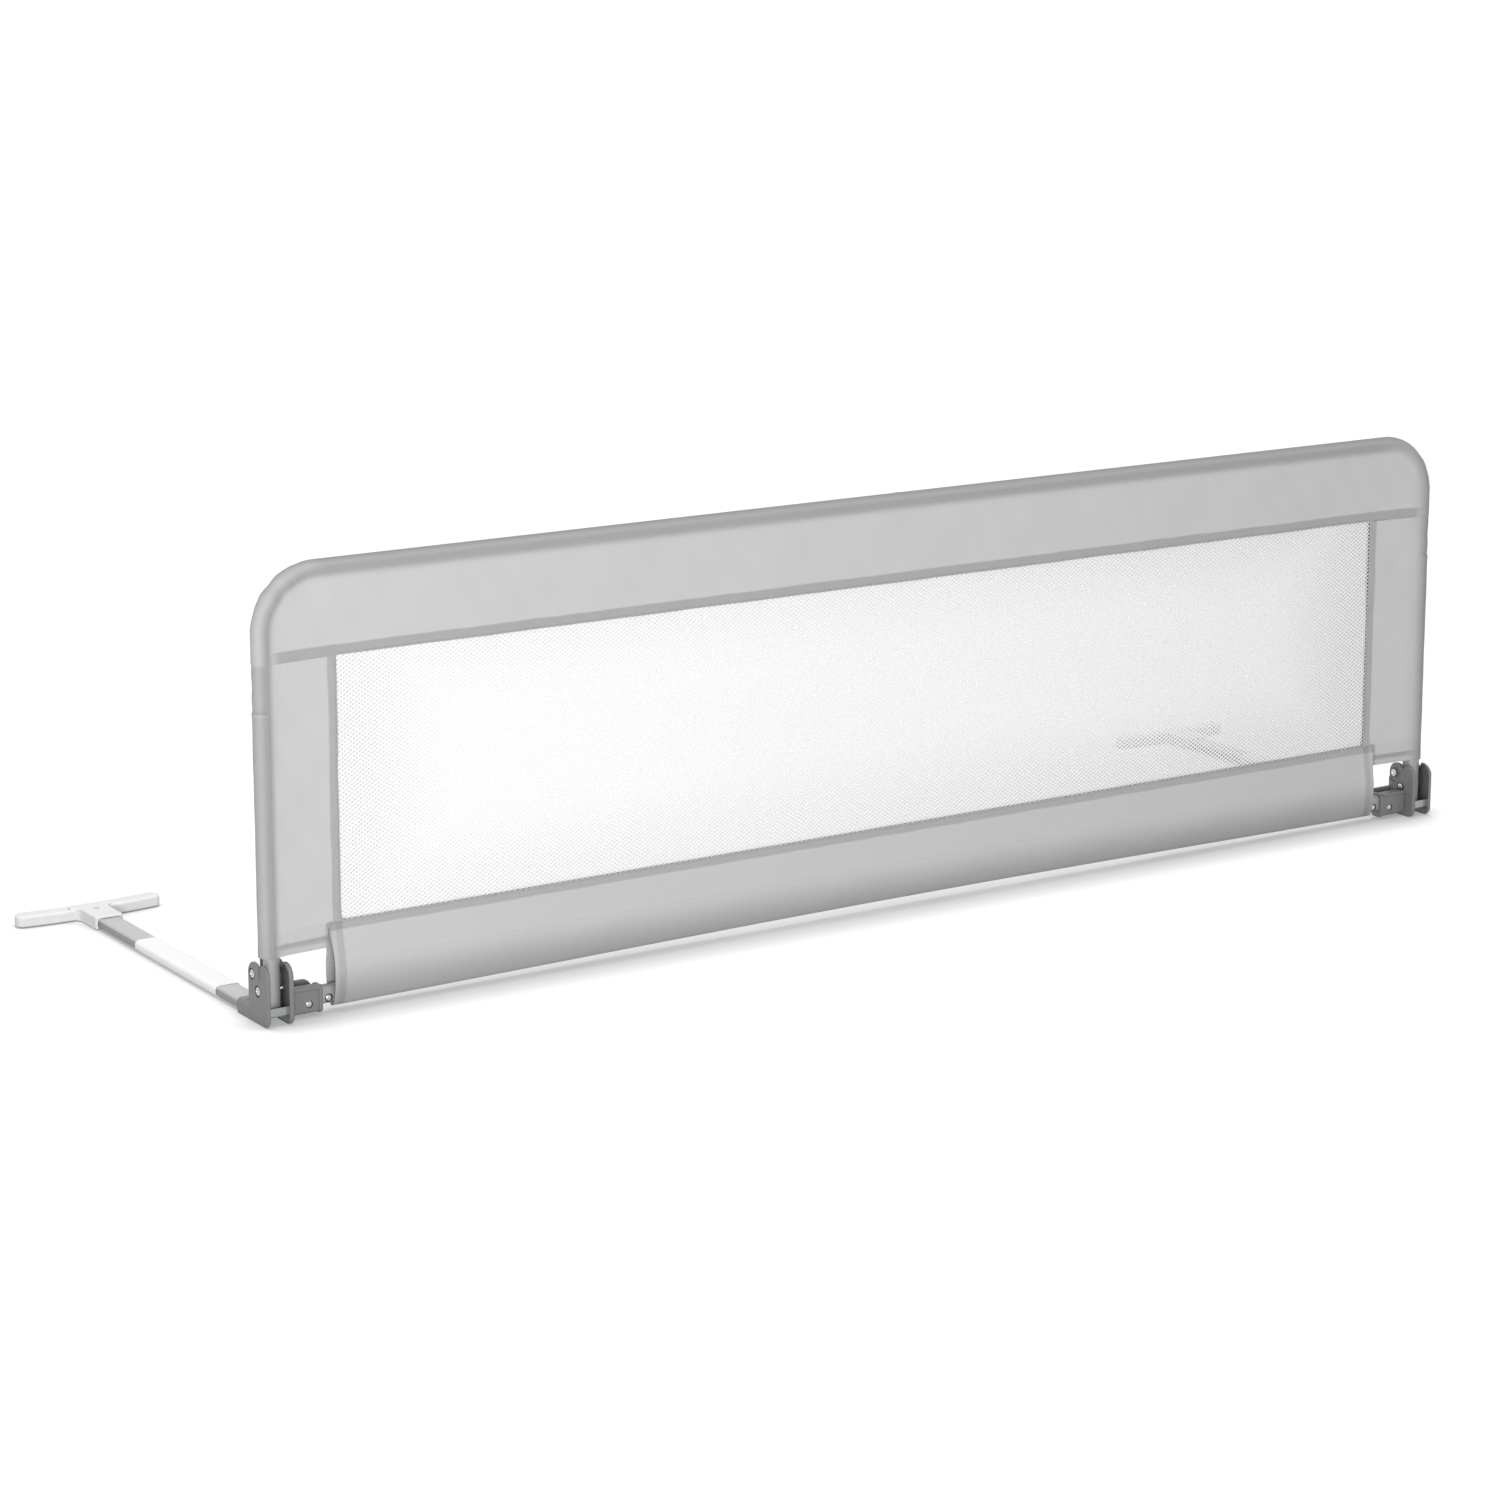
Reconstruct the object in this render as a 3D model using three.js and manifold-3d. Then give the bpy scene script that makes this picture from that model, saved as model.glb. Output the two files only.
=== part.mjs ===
// Folding bed guard rail. Millimetres, X along the rail, +Y towards the bed, Z up from the floor.
import * as THREE from 'three';
import { mergeVertices } from 'three/addons/utils/BufferGeometryUtils.js';
import Module from 'manifold-3d';

const wasm = await Module();
wasm.setup();

// Overall sizes
const railLength = 1500;
const tubeCentreTop = 438.5;

// Fits shared by all pieces
const clearance = 0.3;
const overrun = 5;

// Guard frame tube
const tubeDiameter = 19;
const tubeWall = 1.2;
const tubeInset = 13.8;
const tubeDepth = 21.5;
const bendRadius = 57;
const uprightJoint = 305;
const spigotLength = 40;
const joinerLength = 90;
const joinerWall = 1.5;
const plugFlange = 1.2;
const plugDepth = 3.4;
const stubEnd = 12.8;

// Hinge plates and their steel bracket
const plateDepth = 42;
const plateHeight = 60.5;
const outerPlate = 3.6;
const hingeGap = 20.4;
const innerPlate = 4.8;
const plateEdge = 0.8;
const rimWidth = 1.5;
const pocketDepth = 1.4;
const sheetSteel = 1;
const toeRadius = 9;
const heelRadius = 4.5;
const browRadius = 13;
const bossRadius = 12.3;
const notchFront = 17.6;
const notchDepth = 4.8;
const humpFlat = 2.2;
const reliefDepth = 1;
const browRelief = 45.5;
const bossCollar = 5.9;
const bossCollarWall = 1;
const saddleFront = 4.5;
const saddleTop = 18.5;
const saddleFloor = 9;
const saddleRear = 38;
const saddleBend = 2;
const saddleSteel = 1.2;

// Hinge bolts
const pivotHeight = 33;
const pivotBoltDiameter = 6;
const pivotHeadRecess = 12;
const stopHeight = 48;
const stopBoltDiameter = 4;
const stopHeadRecess = 10;
const boltHeadDiameter = 9;
const boltHeadRim = 0.8;
const boltHeadDome = 0.7;
const outerRecess = 1.1;
const innerRecess = 1.8;
const nutThreadDepth = 1.1;
const bushHeight = 14;
const liftTravel = 8;

// Crossbar, its sleeve in the hinge and the flange behind it
const crossbarHeight = 19.5;
const crossbarThickness = 10;
const crossbarWall = 1.2;
const crossbarCentre = 19;
const crossbarBow = 5;
const crossbarSteps = 6;
const ovalFlat = 0.05;
const sleeveWall = 2.5;
const sleeveBottom = 3.8;
const sleeveTop = 29.8;
const sleeveCorner = 4;
const sleeveLength = 33;
const sleeveFlange = 4;
const sleeveFlangeLip = 1;
const sleeveRidge = 2.4;
const sleeveEndWall = 2.5;
const insertLength = 52;
const screwHeadDiameter = 6;
const screwHeadHeight = 1.2;
const screwShankDiameter = 3;
const screwLength = 6;
const sleeveScrewInset = 51.4;
const sleeveScrewHeight = 13.2;
const sleeveScrewRecess = 8.5;
const sleeveScrewRecessDepth = 1;
const crossbarScrewInset = 74.1;
const crossbarScrewHeight = 15.5;
const crossbarScrewHole = 9;
const rearFlangeLength = 37.5;
const rearFlangeThickness = 2.6;
const rearFlangeTop = 31;
const rearFlangeCorner = 9.5;
const webThickness = 2.5;

// Legs and their sockets in the hinge
const legWidth = 26;
const legHeight = 10.3;
const legCorner = 4.2;
const legWall = 1.2;
const legInset = 15.5;
const legLift = 1.5;
const legEnd = 446;
const socketStart = 42.4;
const socketEnd = 69;
const socketCollarStart = 58;
const socketWall = 2.2;
const socketTop = 14.2;
const socketCorner = 4.5;
const socketEndWall = 2.6;
const socketCollarLip = 0.8;
const labelStart = 121;
const labelEnd = 311;
const labelThickness = 0.5;
const labelGap = 0.2;

// T-shaped foot and its snap button
const footLength = 162;
const footDepth = 20;
const footHeight = 13;
const footEdge = 2.5;
const footTipRadius = 8;
const footSweep = 5;
const footBeyondLeg = 11.5;
const footSocketDepth = 41;
const footSocketTop = 14.2;
const footSocketWall = 2.2;
const footFillet = 9;
const buttonFromEnd = 8;
const buttonDiameter = 5.4;
const buttonFlangeDiameter = 8;
const buttonFlange = 1;
const buttonProud = 1;
const buttonDome = 0.6;
const springWidth = 6;
const springSteel = 0.6;
const springLength = 24;

// Fabric cover
const fabricWall = 1;
const bandThickness = 4;
const windowInset = 91;
const windowBottom = 91;
const windowTop = 352.7;
const hemHeight = 66;
const bottomBandInset = 76;
const bottomBandLow = 52;
const bottomBandTopThickness = 3;
const bottomBandLowThickness = 10;
const loopInset = 80;
const loopTop = 42;
const loopTopThickness = 9;
const loopGap = 1.3;

// Net of the window
const netThickness = 1.2;
const netBorder = 6;
const netColumns = 30;
const netRows = 5;
const netStrand = 5;

// Facets of round parts
const tubeFacets = 24;
const ringFacets = 8;
const sleeveFacets = 16;
const boltFacets = 12;
const arcFacets = 2;
const plateFacets = 3;
const bendFacets = 6;
const domeFacets = 2;
const edgeFacet = 1.3;

// Sizes worked out from those above
const tubeRadius = tubeDiameter / 2;
const tubeBore = tubeRadius - tubeWall;
const innerFace = outerPlate + hingeGap;
const hingeWidth = innerFace + innerPlate;
const fabricInner = tubeRadius + clearance;
const fabricOuter = fabricInner + fabricWall;
const outerPocket = outerPlate - pocketDepth;
const innerPocket = innerFace + pocketDepth;
const cheekSlack = (pocketDepth - sheetSteel) / 2;
const stopDepth = tubeDepth + tubeRadius + clearance + stopBoltDiameter / 2;
const bossDepth = plateDepth - bossRadius;
const bossHeight = plateHeight - bossRadius;
const halfLength = railLength / 2;
const legCentreHeight = legLift + legHeight / 2;
const footCentre = legEnd + footBeyondLeg;
const footSocketStart = legEnd - footSocketDepth;
const buttonDistance = legEnd - buttonFromEnd;
const insertFront = tubeDepth - crossbarThickness / 2 + crossbarWall + clearance;

const finishes = {
  frame: { color: 0x8c8d8f, roughness: 0.42, metalness: 0.35 },
  steel: { color: 0xb9bab6, roughness: 0.32, metalness: 0.9 },
  bracket: { color: 0x9a9c96, roughness: 0.38, metalness: 0.8 },
  hinge: { color: 0x7e7f81, roughness: 0.48, metalness: 0 },
  insert: { color: 0x4c4d4f, roughness: 0.6, metalness: 0 },
  leg: { color: 0xc9cacb, roughness: 0.35, metalness: 0.75 },
  foot: { color: 0xeff0f1, roughness: 0.4, metalness: 0 },
  label: { color: 0xf1f1f1, roughness: 0.5, metalness: 0 },
  fabric: { color: 0xcfd0d2, roughness: 0.9, metalness: 0 },
  net: { color: 0xf4f4f5, roughness: 0.85, metalness: 0 },
};

const turnYZ = new THREE.Matrix4().makeBasis(
  new THREE.Vector3(0, 1, 0),
  new THREE.Vector3(0, 0, 1),
  new THREE.Vector3(1, 0, 0),
);

// A path whose cross sections stand exactly at the given stations, with Y as the section's first axis
class StationPath extends THREE.Curve {
  constructor(stations) {
    super();
    this.stations = stations;
  }

  stationAt(share) {
    return this.stations[Math.round(share * (this.stations.length - 1))];
  }

  getPointAt(share) {
    return this.stationAt(share).point.clone();
  }

  computeFrenetFrames(count) {
    const across = new THREE.Vector3(0, 1, 0);
    const tangents = [];
    const normals = [];
    const binormals = [];
    for (let step = 0; step <= count; step += 1) {
      const tangent = this.stationAt(step / count).tangent.clone();
      tangents.push(tangent);
      normals.push(across.clone());
      binormals.push(new THREE.Vector3().crossVectors(tangent, across));
    }
    return { tangents, normals, binormals };
  }
}

function station(x, y, z, alongX, alongZ) {
  return {
    point: new THREE.Vector3(x, y, z),
    tangent: new THREE.Vector3(alongX, 0, alongZ).normalize(),
  };
}

function solidOf(geometry) {
  const bare = geometry.clone();
  bare.deleteAttribute('normal');
  bare.deleteAttribute('uv');
  const merged = mergeVertices(bare);
  return new wasm.Manifold(new wasm.Mesh({
    numProp: 3,
    vertProperties: new Float32Array(merged.attributes.position.array),
    triVerts: new Uint32Array(merged.index.array),
  }));
}

function geometryOf(solid) {
  const mesh = solid.getMesh();
  const geometry = new THREE.BufferGeometry();
  geometry.setAttribute('position', new THREE.BufferAttribute(mesh.vertProperties, mesh.numProp));
  geometry.setIndex(new THREE.BufferAttribute(mesh.triVerts, 1));
  geometry.computeVertexNormals();
  return geometry;
}

function shaped(base, additions, cuts) {
  let solid = solidOf(base);
  for (const addition of additions) {
    solid = solid.add(solidOf(addition));
  }
  for (const cut of cuts) {
    solid = solid.subtract(solidOf(cut));
  }
  return geometryOf(solid);
}

// The same shape on the other side of the plane X = 0
function mirrored(geometry) {
  const copy = geometry.clone();
  const flat = copy.index ? copy.toNonIndexed() : copy;
  const position = flat.attributes.position;
  const corners = new Float32Array(position.count * 3);
  for (let vertex = 0; vertex < position.count; vertex += 1) {
    const place = vertex % 3;
    const source = place === 0 ? vertex : vertex + (place === 1 ? 1 : -1);
    corners[vertex * 3] = -position.getX(source);
    corners[vertex * 3 + 1] = position.getY(source);
    corners[vertex * 3 + 2] = position.getZ(source);
  }
  const result = new THREE.BufferGeometry();
  result.setAttribute('position', new THREE.BufferAttribute(corners, 3));
  result.computeVertexNormals();
  return result;
}

function extruded(shape, depth, edge, facets) {
  return new THREE.ExtrudeGeometry(shape, {
    depth: depth - 2 * edge,
    bevelEnabled: edge > 0,
    bevelThickness: edge,
    bevelSize: edge,
    bevelOffset: -edge,
    bevelSegments: Math.ceil(edge / edgeFacet),
    curveSegments: facets,
  }).translate(0, 0, edge);
}

// An outline in Y and Z, carried along X from start to end
function alongX(shape, start, end, edge = 0, facets = arcFacets) {
  return extruded(shape, end - start, edge, facets).applyMatrix4(turnYZ).translate(start, 0, 0);
}

// An outline in X and Z, carried along Y from start to end
function alongY(shape, start, end, edge = 0, facets = arcFacets) {
  return extruded(shape, end - start, edge, facets).rotateX(Math.PI / 2).translate(0, end, 0);
}

// An outline in X and Y, carried up Z from start to end
function alongZ(shape, start, end, edge = 0, facets = arcFacets) {
  return extruded(shape, end - start, edge, facets).translate(0, 0, start);
}

function block(lowX, highX, lowY, highY, lowZ, highZ) {
  return new THREE.BoxGeometry(highX - lowX, highY - lowY, highZ - lowZ).translate(
    (lowX + highX) / 2,
    (lowY + highY) / 2,
    (lowZ + highZ) / 2,
  );
}

function rodAlongX(radius, start, end, y, z, facets = boltFacets) {
  return new THREE.CylinderGeometry(radius, radius, end - start, facets)
    .rotateZ(-Math.PI / 2)
    .translate((start + end) / 2, y, z);
}

function rodAlongY(radius, start, end, x, z, facets = boltFacets) {
  return new THREE.CylinderGeometry(radius, radius, end - start, facets)
    .translate(x, (start + end) / 2, z);
}

function rodAlongZ(radius, start, end, x, y, facets = boltFacets) {
  return new THREE.CylinderGeometry(radius, radius, end - start, facets)
    .rotateX(Math.PI / 2)
    .translate(x, y, (start + end) / 2);
}

// A closed profile of radius and height, turned about the Z axis
function turned(profile, facets) {
  const points = profile.map(([radius, height]) => new THREE.Vector2(radius, height));
  return new THREE.LatheGeometry(points, facets).rotateX(Math.PI / 2);
}

// Points of a shallow dome from the axis out to its rim
function domeProfile(radius, rim, rise) {
  const points = [[0, rim - rise]];
  for (let step = 1; step <= domeFacets; step += 1) {
    const share = step / domeFacets;
    points.push([radius * share, rim - rise * (1 - share * share)]);
  }
  return points;
}

function roundedBox(shape, centreX, centreY, width, height, radius) {
  const left = centreX - width / 2;
  const right = centreX + width / 2;
  const low = centreY - height / 2;
  const high = centreY + height / 2;
  const quarter = Math.PI / 2;
  shape.moveTo(left + radius, low);
  shape.absarc(right - radius, low + radius, radius, -quarter, 0, false);
  shape.absarc(right - radius, high - radius, radius, 0, quarter, false);
  shape.absarc(left + radius, high - radius, radius, quarter, 2 * quarter, false);
  shape.absarc(left + radius, low + radius, radius, 2 * quarter, 3 * quarter, false);
  shape.closePath();
  return shape;
}

function polygon(points) {
  return new THREE.Shape(points.map(([x, y]) => new THREE.Vector2(x, y)));
}

function ringShape(outer, inner) {
  const shape = new THREE.Shape().absarc(0, 0, outer, 0, 2 * Math.PI, false);
  if (inner > 0) {
    shape.holes.push(new THREE.Path().absarc(0, 0, inner, 0, 2 * Math.PI, true));
  }
  return shape;
}

function swept(shape, stations, facets) {
  return new THREE.ExtrudeGeometry(shape, {
    steps: stations.length - 1,
    extrudePath: new StationPath(stations),
    curveSegments: facets,
    bevelEnabled: false,
  });
}

// Outline of a hinge plate in Y and Z, drawn in from its edge by the given inset
function plateOutline(inset, rearFoot) {
  const quarter = Math.PI / 2;
  const front = inset;
  const top = plateHeight - inset;
  const rear = plateDepth - inset;
  const boss = bossRadius - inset;
  const brow = browRadius - inset;
  const toe = toeRadius - inset;
  const notch = plateHeight - notchDepth - inset;
  const notchAngle = Math.PI - Math.asin((notch - bossHeight) / boss);
  const shape = new THREE.Shape();
  shape.moveTo(rear, inset + rearFoot);
  shape.lineTo(rear, bossHeight);
  shape.absarc(bossDepth, bossHeight, boss, 0, notchAngle, false);
  shape.lineTo(notchFront - inset, notch);
  shape.lineTo(front + brow + humpFlat - inset, top);
  shape.absarc(front + brow, top - brow, brow, quarter, 2 * quarter, false);
  shape.absarc(front + toe, inset + toe, toe, 2 * quarter, 3 * quarter, false);
  if (rearFoot > 0) {
    shape.absarc(rear - rearFoot, inset + rearFoot, rearFoot, 3 * quarter, 4 * quarter, false);
  }
  shape.closePath();
  return shape;
}

// Front top corner of the plate, which lies lower than the boss and the body of the plate
function browReliefOutline() {
  const low = browRelief;
  return polygon([
    [rimWidth, low + rimWidth],
    [bossDepth - bossRadius, low],
    [bossDepth, low],
    [bossDepth, plateHeight + overrun],
    [rimWidth, plateHeight + overrun],
  ]);
}

function legOutline(grow) {
  return roundedBox(
    new THREE.Shape(),
    legInset,
    legCentreHeight,
    legWidth + 2 * grow,
    legHeight + 2 * grow,
    legCorner + grow,
  );
}

function hollowLegOutline(outerGrow, innerGrow) {
  const shape = legOutline(outerGrow);
  shape.holes.push(roundedBox(
    new THREE.Path(),
    legInset,
    legCentreHeight,
    legWidth + 2 * innerGrow,
    legHeight + 2 * innerGrow,
    legCorner + innerGrow,
  ));
  return shape;
}

// Upright oval of the crossbar about its own centre, with a short flat where its end arcs meet
function crossbarOutline(shape, grow) {
  return roundedBox(
    shape,
    0,
    0,
    crossbarThickness + 2 * grow,
    crossbarHeight + 2 * grow,
    crossbarThickness / 2 + grow - ovalFlat,
  );
}

function makeOuterCover() {
  const plate = alongX(plateOutline(0, 0), 0, outerPlate, plateEdge, plateFacets);
  const arm = block(0, outerPlate, plateDepth - toeRadius, socketEnd - socketWall, 0, socketTop - legCorner);
  const socketWidth = legInset + legWidth / 2 + clearance + socketWall;
  const socket = alongY(
    roundedBox(new THREE.Shape(), socketWidth / 2, socketTop / 2, socketWidth, socketTop, socketCorner),
    socketStart,
    socketCollarStart + socketCollarLip,
  );
  const collar = alongY(
    roundedBox(
      new THREE.Shape(),
      (socketWidth + socketCollarLip) / 2,
      (socketTop + socketCollarLip) / 2,
      socketWidth + socketCollarLip,
      socketTop + socketCollarLip,
      socketCorner,
    ),
    socketCollarStart,
    socketEnd,
  );
  const legBore = alongY(legOutline(clearance), socketStart + socketEndWall, socketEnd + overrun);
  const pocket = alongX(plateOutline(rimWidth, 0), outerPocket, outerPlate + overrun, 0, plateFacets);
  const relief = shaped(
    alongX(browReliefOutline(), -overrun, reliefDepth),
    [],
    [rodAlongX(bossRadius, -2 * overrun, outerPlate, bossDepth, bossHeight, 2 * tubeFacets)],
  );
  return shaped(plate, [arm, socket, collar], [
    legBore,
    pocket,
    relief,
    rodAlongX(pivotHeadRecess / 2, -overrun, outerRecess, tubeDepth, pivotHeight),
    rodAlongX(pivotBoltDiameter / 2 + clearance, -overrun, outerPlate, tubeDepth, pivotHeight),
    rodAlongX(stopHeadRecess / 2, -overrun, outerRecess, stopDepth, stopHeight),
    rodAlongX(stopBoltDiameter / 2 + clearance, -overrun, outerPlate, stopDepth, stopHeight),
  ]);
}

function makeSleeve() {
  const half = crossbarThickness / 2 + clearance + sleeveWall;
  const height = sleeveTop - sleeveBottom;
  const middle = (sleeveTop + sleeveBottom) / 2;
  const body = alongX(
    roundedBox(new THREE.Shape(), tubeDepth, middle, 2 * half, height, sleeveCorner),
    hingeWidth - plateEdge,
    hingeWidth + sleeveLength,
  );
  const flange = alongX(
    roundedBox(
      new THREE.Shape(),
      tubeDepth,
      middle,
      2 * (half + sleeveFlangeLip),
      height + 2 * sleeveFlangeLip,
      sleeveCorner + sleeveFlangeLip,
    ),
    hingeWidth + sleeveLength,
    hingeWidth + sleeveLength + sleeveFlange,
    sleeveFlangeLip / 2,
  );
  const ridge = block(
    hingeWidth - plateEdge,
    hingeWidth + sleeveLength + sleeveFlangeLip,
    tubeDepth - half - sleeveFlangeLip,
    tubeDepth,
    sleeveTop - sleeveRidge,
    sleeveTop + sleeveFlangeLip,
  );
  return [body, flange, ridge];
}

function makeRearFlange() {
  const start = hingeWidth - plateEdge;
  const end = hingeWidth + rearFlangeLength;
  const shape = new THREE.Shape();
  shape.moveTo(start, sleeveBottom);
  shape.lineTo(end - rearFlangeCorner, sleeveBottom);
  shape.absarc(end - rearFlangeCorner, sleeveBottom + rearFlangeCorner, rearFlangeCorner, -Math.PI / 2, 0, false);
  shape.absarc(end - rearFlangeCorner, rearFlangeTop - rearFlangeCorner, rearFlangeCorner, 0, Math.PI / 2, false);
  shape.lineTo(start, rearFlangeTop);
  shape.closePath();
  const flange = alongY(shape, plateDepth - rearFlangeThickness, plateDepth);
  const web = block(
    start,
    end - rearFlangeCorner,
    tubeDepth,
    plateDepth - rearFlangeThickness / 2,
    sleeveBottom,
    sleeveBottom + webThickness,
  );
  return [flange, web];
}

function makeInnerCover() {
  const plate = alongX(plateOutline(0, heelRadius), innerFace, hingeWidth, plateEdge, plateFacets);
  const crossbarBore = alongX(
    crossbarOutline(new THREE.Shape(), clearance),
    hingeWidth + sleeveEndWall,
    hingeWidth + sleeveLength + sleeveFlange + overrun,
  ).translate(0, tubeDepth, crossbarCentre);
  const bossRelief = shaped(
    rodAlongX(bossRadius - rimWidth, hingeWidth - reliefDepth, hingeWidth + overrun, stopDepth, stopHeight, tubeFacets),
    [],
    [rodAlongX(bossCollar, innerFace, hingeWidth + 2 * overrun, stopDepth, stopHeight, tubeFacets)],
  );
  const sleeveFront = tubeDepth - crossbarThickness / 2 - clearance - sleeveWall;
  return shaped(plate, [...makeSleeve(), ...makeRearFlange()], [
    crossbarBore,
    bossRelief,
    alongX(plateOutline(rimWidth, heelRadius - rimWidth), innerFace - overrun, innerPocket, 0, plateFacets),
    rodAlongX(pivotHeadRecess / 2, hingeWidth - innerRecess, hingeWidth + overrun, tubeDepth, pivotHeight),
    rodAlongX(pivotBoltDiameter / 2 + clearance, innerFace, hingeWidth + overrun, tubeDepth, pivotHeight),
    rodAlongX(
      bossCollar - bossCollarWall,
      hingeWidth - innerRecess,
      hingeWidth + overrun,
      stopDepth,
      stopHeight,
    ),
    rodAlongX(stopBoltDiameter / 2 + clearance, innerFace, hingeWidth + overrun, stopDepth, stopHeight),
    rodAlongY(
      sleeveScrewRecess / 2,
      sleeveFront - overrun,
      sleeveFront + sleeveScrewRecessDepth,
      sleeveScrewInset,
      sleeveScrewHeight,
    ),
    rodAlongY(
      screwShankDiameter / 2 + clearance,
      sleeveFront - overrun,
      tubeDepth,
      sleeveScrewInset,
      sleeveScrewHeight,
    ),
  ]);
}

function makeBracket() {
  const inset = rimWidth + clearance;
  const outerCheek = outerPlate - cheekSlack;
  const innerCheek = innerFace + cheekSlack;
  const outline = plateOutline(inset, heelRadius - inset);
  const first = alongX(outline, outerCheek - sheetSteel, outerCheek, 0, plateFacets);
  const second = alongX(outline, innerCheek, innerCheek + sheetSteel, 0, plateFacets);
  const outerBend = saddleBend;
  const innerBend = saddleBend - saddleSteel;
  const section = new THREE.Shape();
  section.moveTo(saddleRear, saddleFloor);
  section.lineTo(saddleRear, saddleFloor + saddleSteel);
  section.absarc(
    saddleFront + outerBend,
    saddleFloor + outerBend,
    innerBend,
    -Math.PI / 2,
    -Math.PI,
    true,
  );
  section.lineTo(saddleFront + saddleSteel, saddleTop);
  section.lineTo(saddleFront, saddleTop);
  section.absarc(saddleFront + outerBend, saddleFloor + outerBend, outerBend, Math.PI, 1.5 * Math.PI, false);
  section.closePath();
  const saddle = alongX(section, outerCheek - sheetSteel / 2, innerCheek + sheetSteel / 2);
  return shaped(first, [second, saddle], [
    rodAlongX(pivotBoltDiameter / 2 + clearance, -overrun, hingeWidth + overrun, tubeDepth, pivotHeight),
    rodAlongX(stopBoltDiameter / 2 + clearance, -overrun, hingeWidth + overrun, stopDepth, stopHeight),
  ]);
}

// A domed head on the outer plate and a plain shank through the hinge
function makeHingeBolt(shankDiameter, y, z) {
  const shank = shankDiameter / 2;
  const head = boltHeadDiameter / 2;
  const seat = outerRecess - clearance;
  const tip = hingeWidth - innerRecess + clearance + nutThreadDepth;
  const profile = [
    ...domeProfile(head, seat - boltHeadRim, boltHeadDome),
    [head, seat],
    [shank, seat],
    [shank, tip],
    [0, tip],
  ];
  return turned(profile, boltFacets).rotateY(Math.PI / 2).translate(0, y, z);
}

// A domed cap nut over the end of the shank
function makeCapNut(shankDiameter, y, z) {
  const bore = shankDiameter / 2 + clearance;
  const head = boltHeadDiameter / 2;
  const seat = hingeWidth - innerRecess + clearance;
  const boreEnd = seat + nutThreadDepth + clearance;
  const rim = boreEnd + boltHeadRim / 2;
  const dome = domeProfile(head, -rim, boltHeadDome).map(([radius, height]) => [radius, -height]);
  const profile = [
    ...dome,
    [head, seat],
    [bore, seat],
    [bore, boreEnd],
    [0, boreEnd],
    dome[0],
  ];
  return turned(profile.reverse(), boltFacets).rotateY(Math.PI / 2).translate(0, y, z);
}

function makePivotBush() {
  return shaped(
    rodAlongZ(
      tubeBore - clearance,
      pivotHeight - bushHeight / 2,
      pivotHeight + bushHeight / 2,
      tubeInset,
      tubeDepth,
      tubeFacets,
    ),
    [],
    [rodAlongX(pivotBoltDiameter / 2 + clearance, -overrun, hingeWidth, tubeDepth, pivotHeight)],
  );
}

// Lower half of an upright: a tube with a narrowed top end and a lift slot across the pivot
function makeUprightTube() {
  const spigot = tubeBore - clearance;
  const start = stubEnd + plugFlange + clearance;
  const profile = [
    [tubeBore, start],
    [tubeRadius, start],
    [tubeRadius, uprightJoint],
    [spigot, uprightJoint],
    [spigot, uprightJoint + spigotLength],
    [spigot - tubeWall, uprightJoint + spigotLength],
    [spigot - tubeWall, uprightJoint - tubeWall],
    [tubeBore, uprightJoint - tubeWall],
    [tubeBore, start],
  ];
  const slotHalf = pivotBoltDiameter / 2 + clearance;
  const slot = new THREE.Shape();
  slot.absarc(tubeDepth, pivotHeight, slotHalf, 0, Math.PI, false);
  slot.absarc(tubeDepth, pivotHeight - liftTravel, slotHalf, Math.PI, 2 * Math.PI, false);
  slot.closePath();
  return shaped(
    turned(profile, tubeFacets).translate(tubeInset, tubeDepth, 0),
    [],
    [alongX(slot, -overrun, hingeWidth)],
  );
}

function makeTubePlug() {
  const spigot = tubeBore - clearance;
  const profile = [
    [0, stubEnd],
    [tubeRadius, stubEnd],
    [tubeRadius, stubEnd + plugFlange],
    [spigot, stubEnd + plugFlange],
    [spigot, stubEnd + plugFlange + plugDepth],
    [0, stubEnd + plugFlange + plugDepth],
  ];
  return turned(profile, tubeFacets).translate(tubeInset, tubeDepth, 0);
}

// Stations of a corner of the frame, from the upright into the top bar
function cornerStations() {
  const stations = [];
  for (let step = 0; step <= bendFacets; step += 1) {
    const angle = (step / bendFacets) * (Math.PI / 2);
    stations.push(station(
      tubeInset + bendRadius * (1 - Math.cos(angle)),
      tubeDepth,
      tubeCentreTop - bendRadius * (1 - Math.sin(angle)),
      Math.sin(angle),
      Math.cos(angle),
    ));
  }
  return stations;
}

function makeCornerTube() {
  const stations = [
    station(tubeInset, tubeDepth, uprightJoint + clearance, 0, 1),
    ...cornerStations(),
    station(halfLength - clearance / 2, tubeDepth, tubeCentreTop, 1, 0),
  ];
  return swept(ringShape(tubeRadius, tubeBore), stations, ringFacets);
}

function makeTopJoiner() {
  const outer = tubeBore - clearance;
  return swept(ringShape(outer, outer - joinerWall), [
    station(-joinerLength / 2, tubeDepth, tubeCentreTop, 1, 0),
    station(joinerLength / 2, tubeDepth, tubeCentreTop, 1, 0),
  ], ringFacets);
}

// Stations along the crossbar, which bows up a little in the middle of its span
function crossbarStations(inset, rise) {
  const half = halfLength - inset;
  const full = halfLength - hingeWidth;
  const stations = [];
  for (let step = 0; step <= crossbarSteps; step += 1) {
    const x = half * (2 * step / crossbarSteps - 1);
    const share = x / full;
    stations.push(station(
      x,
      tubeDepth,
      crossbarCentre + crossbarBow * (1 - share * share) ** 2 + rise,
      1,
      0,
    ));
  }
  return stations;
}

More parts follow.
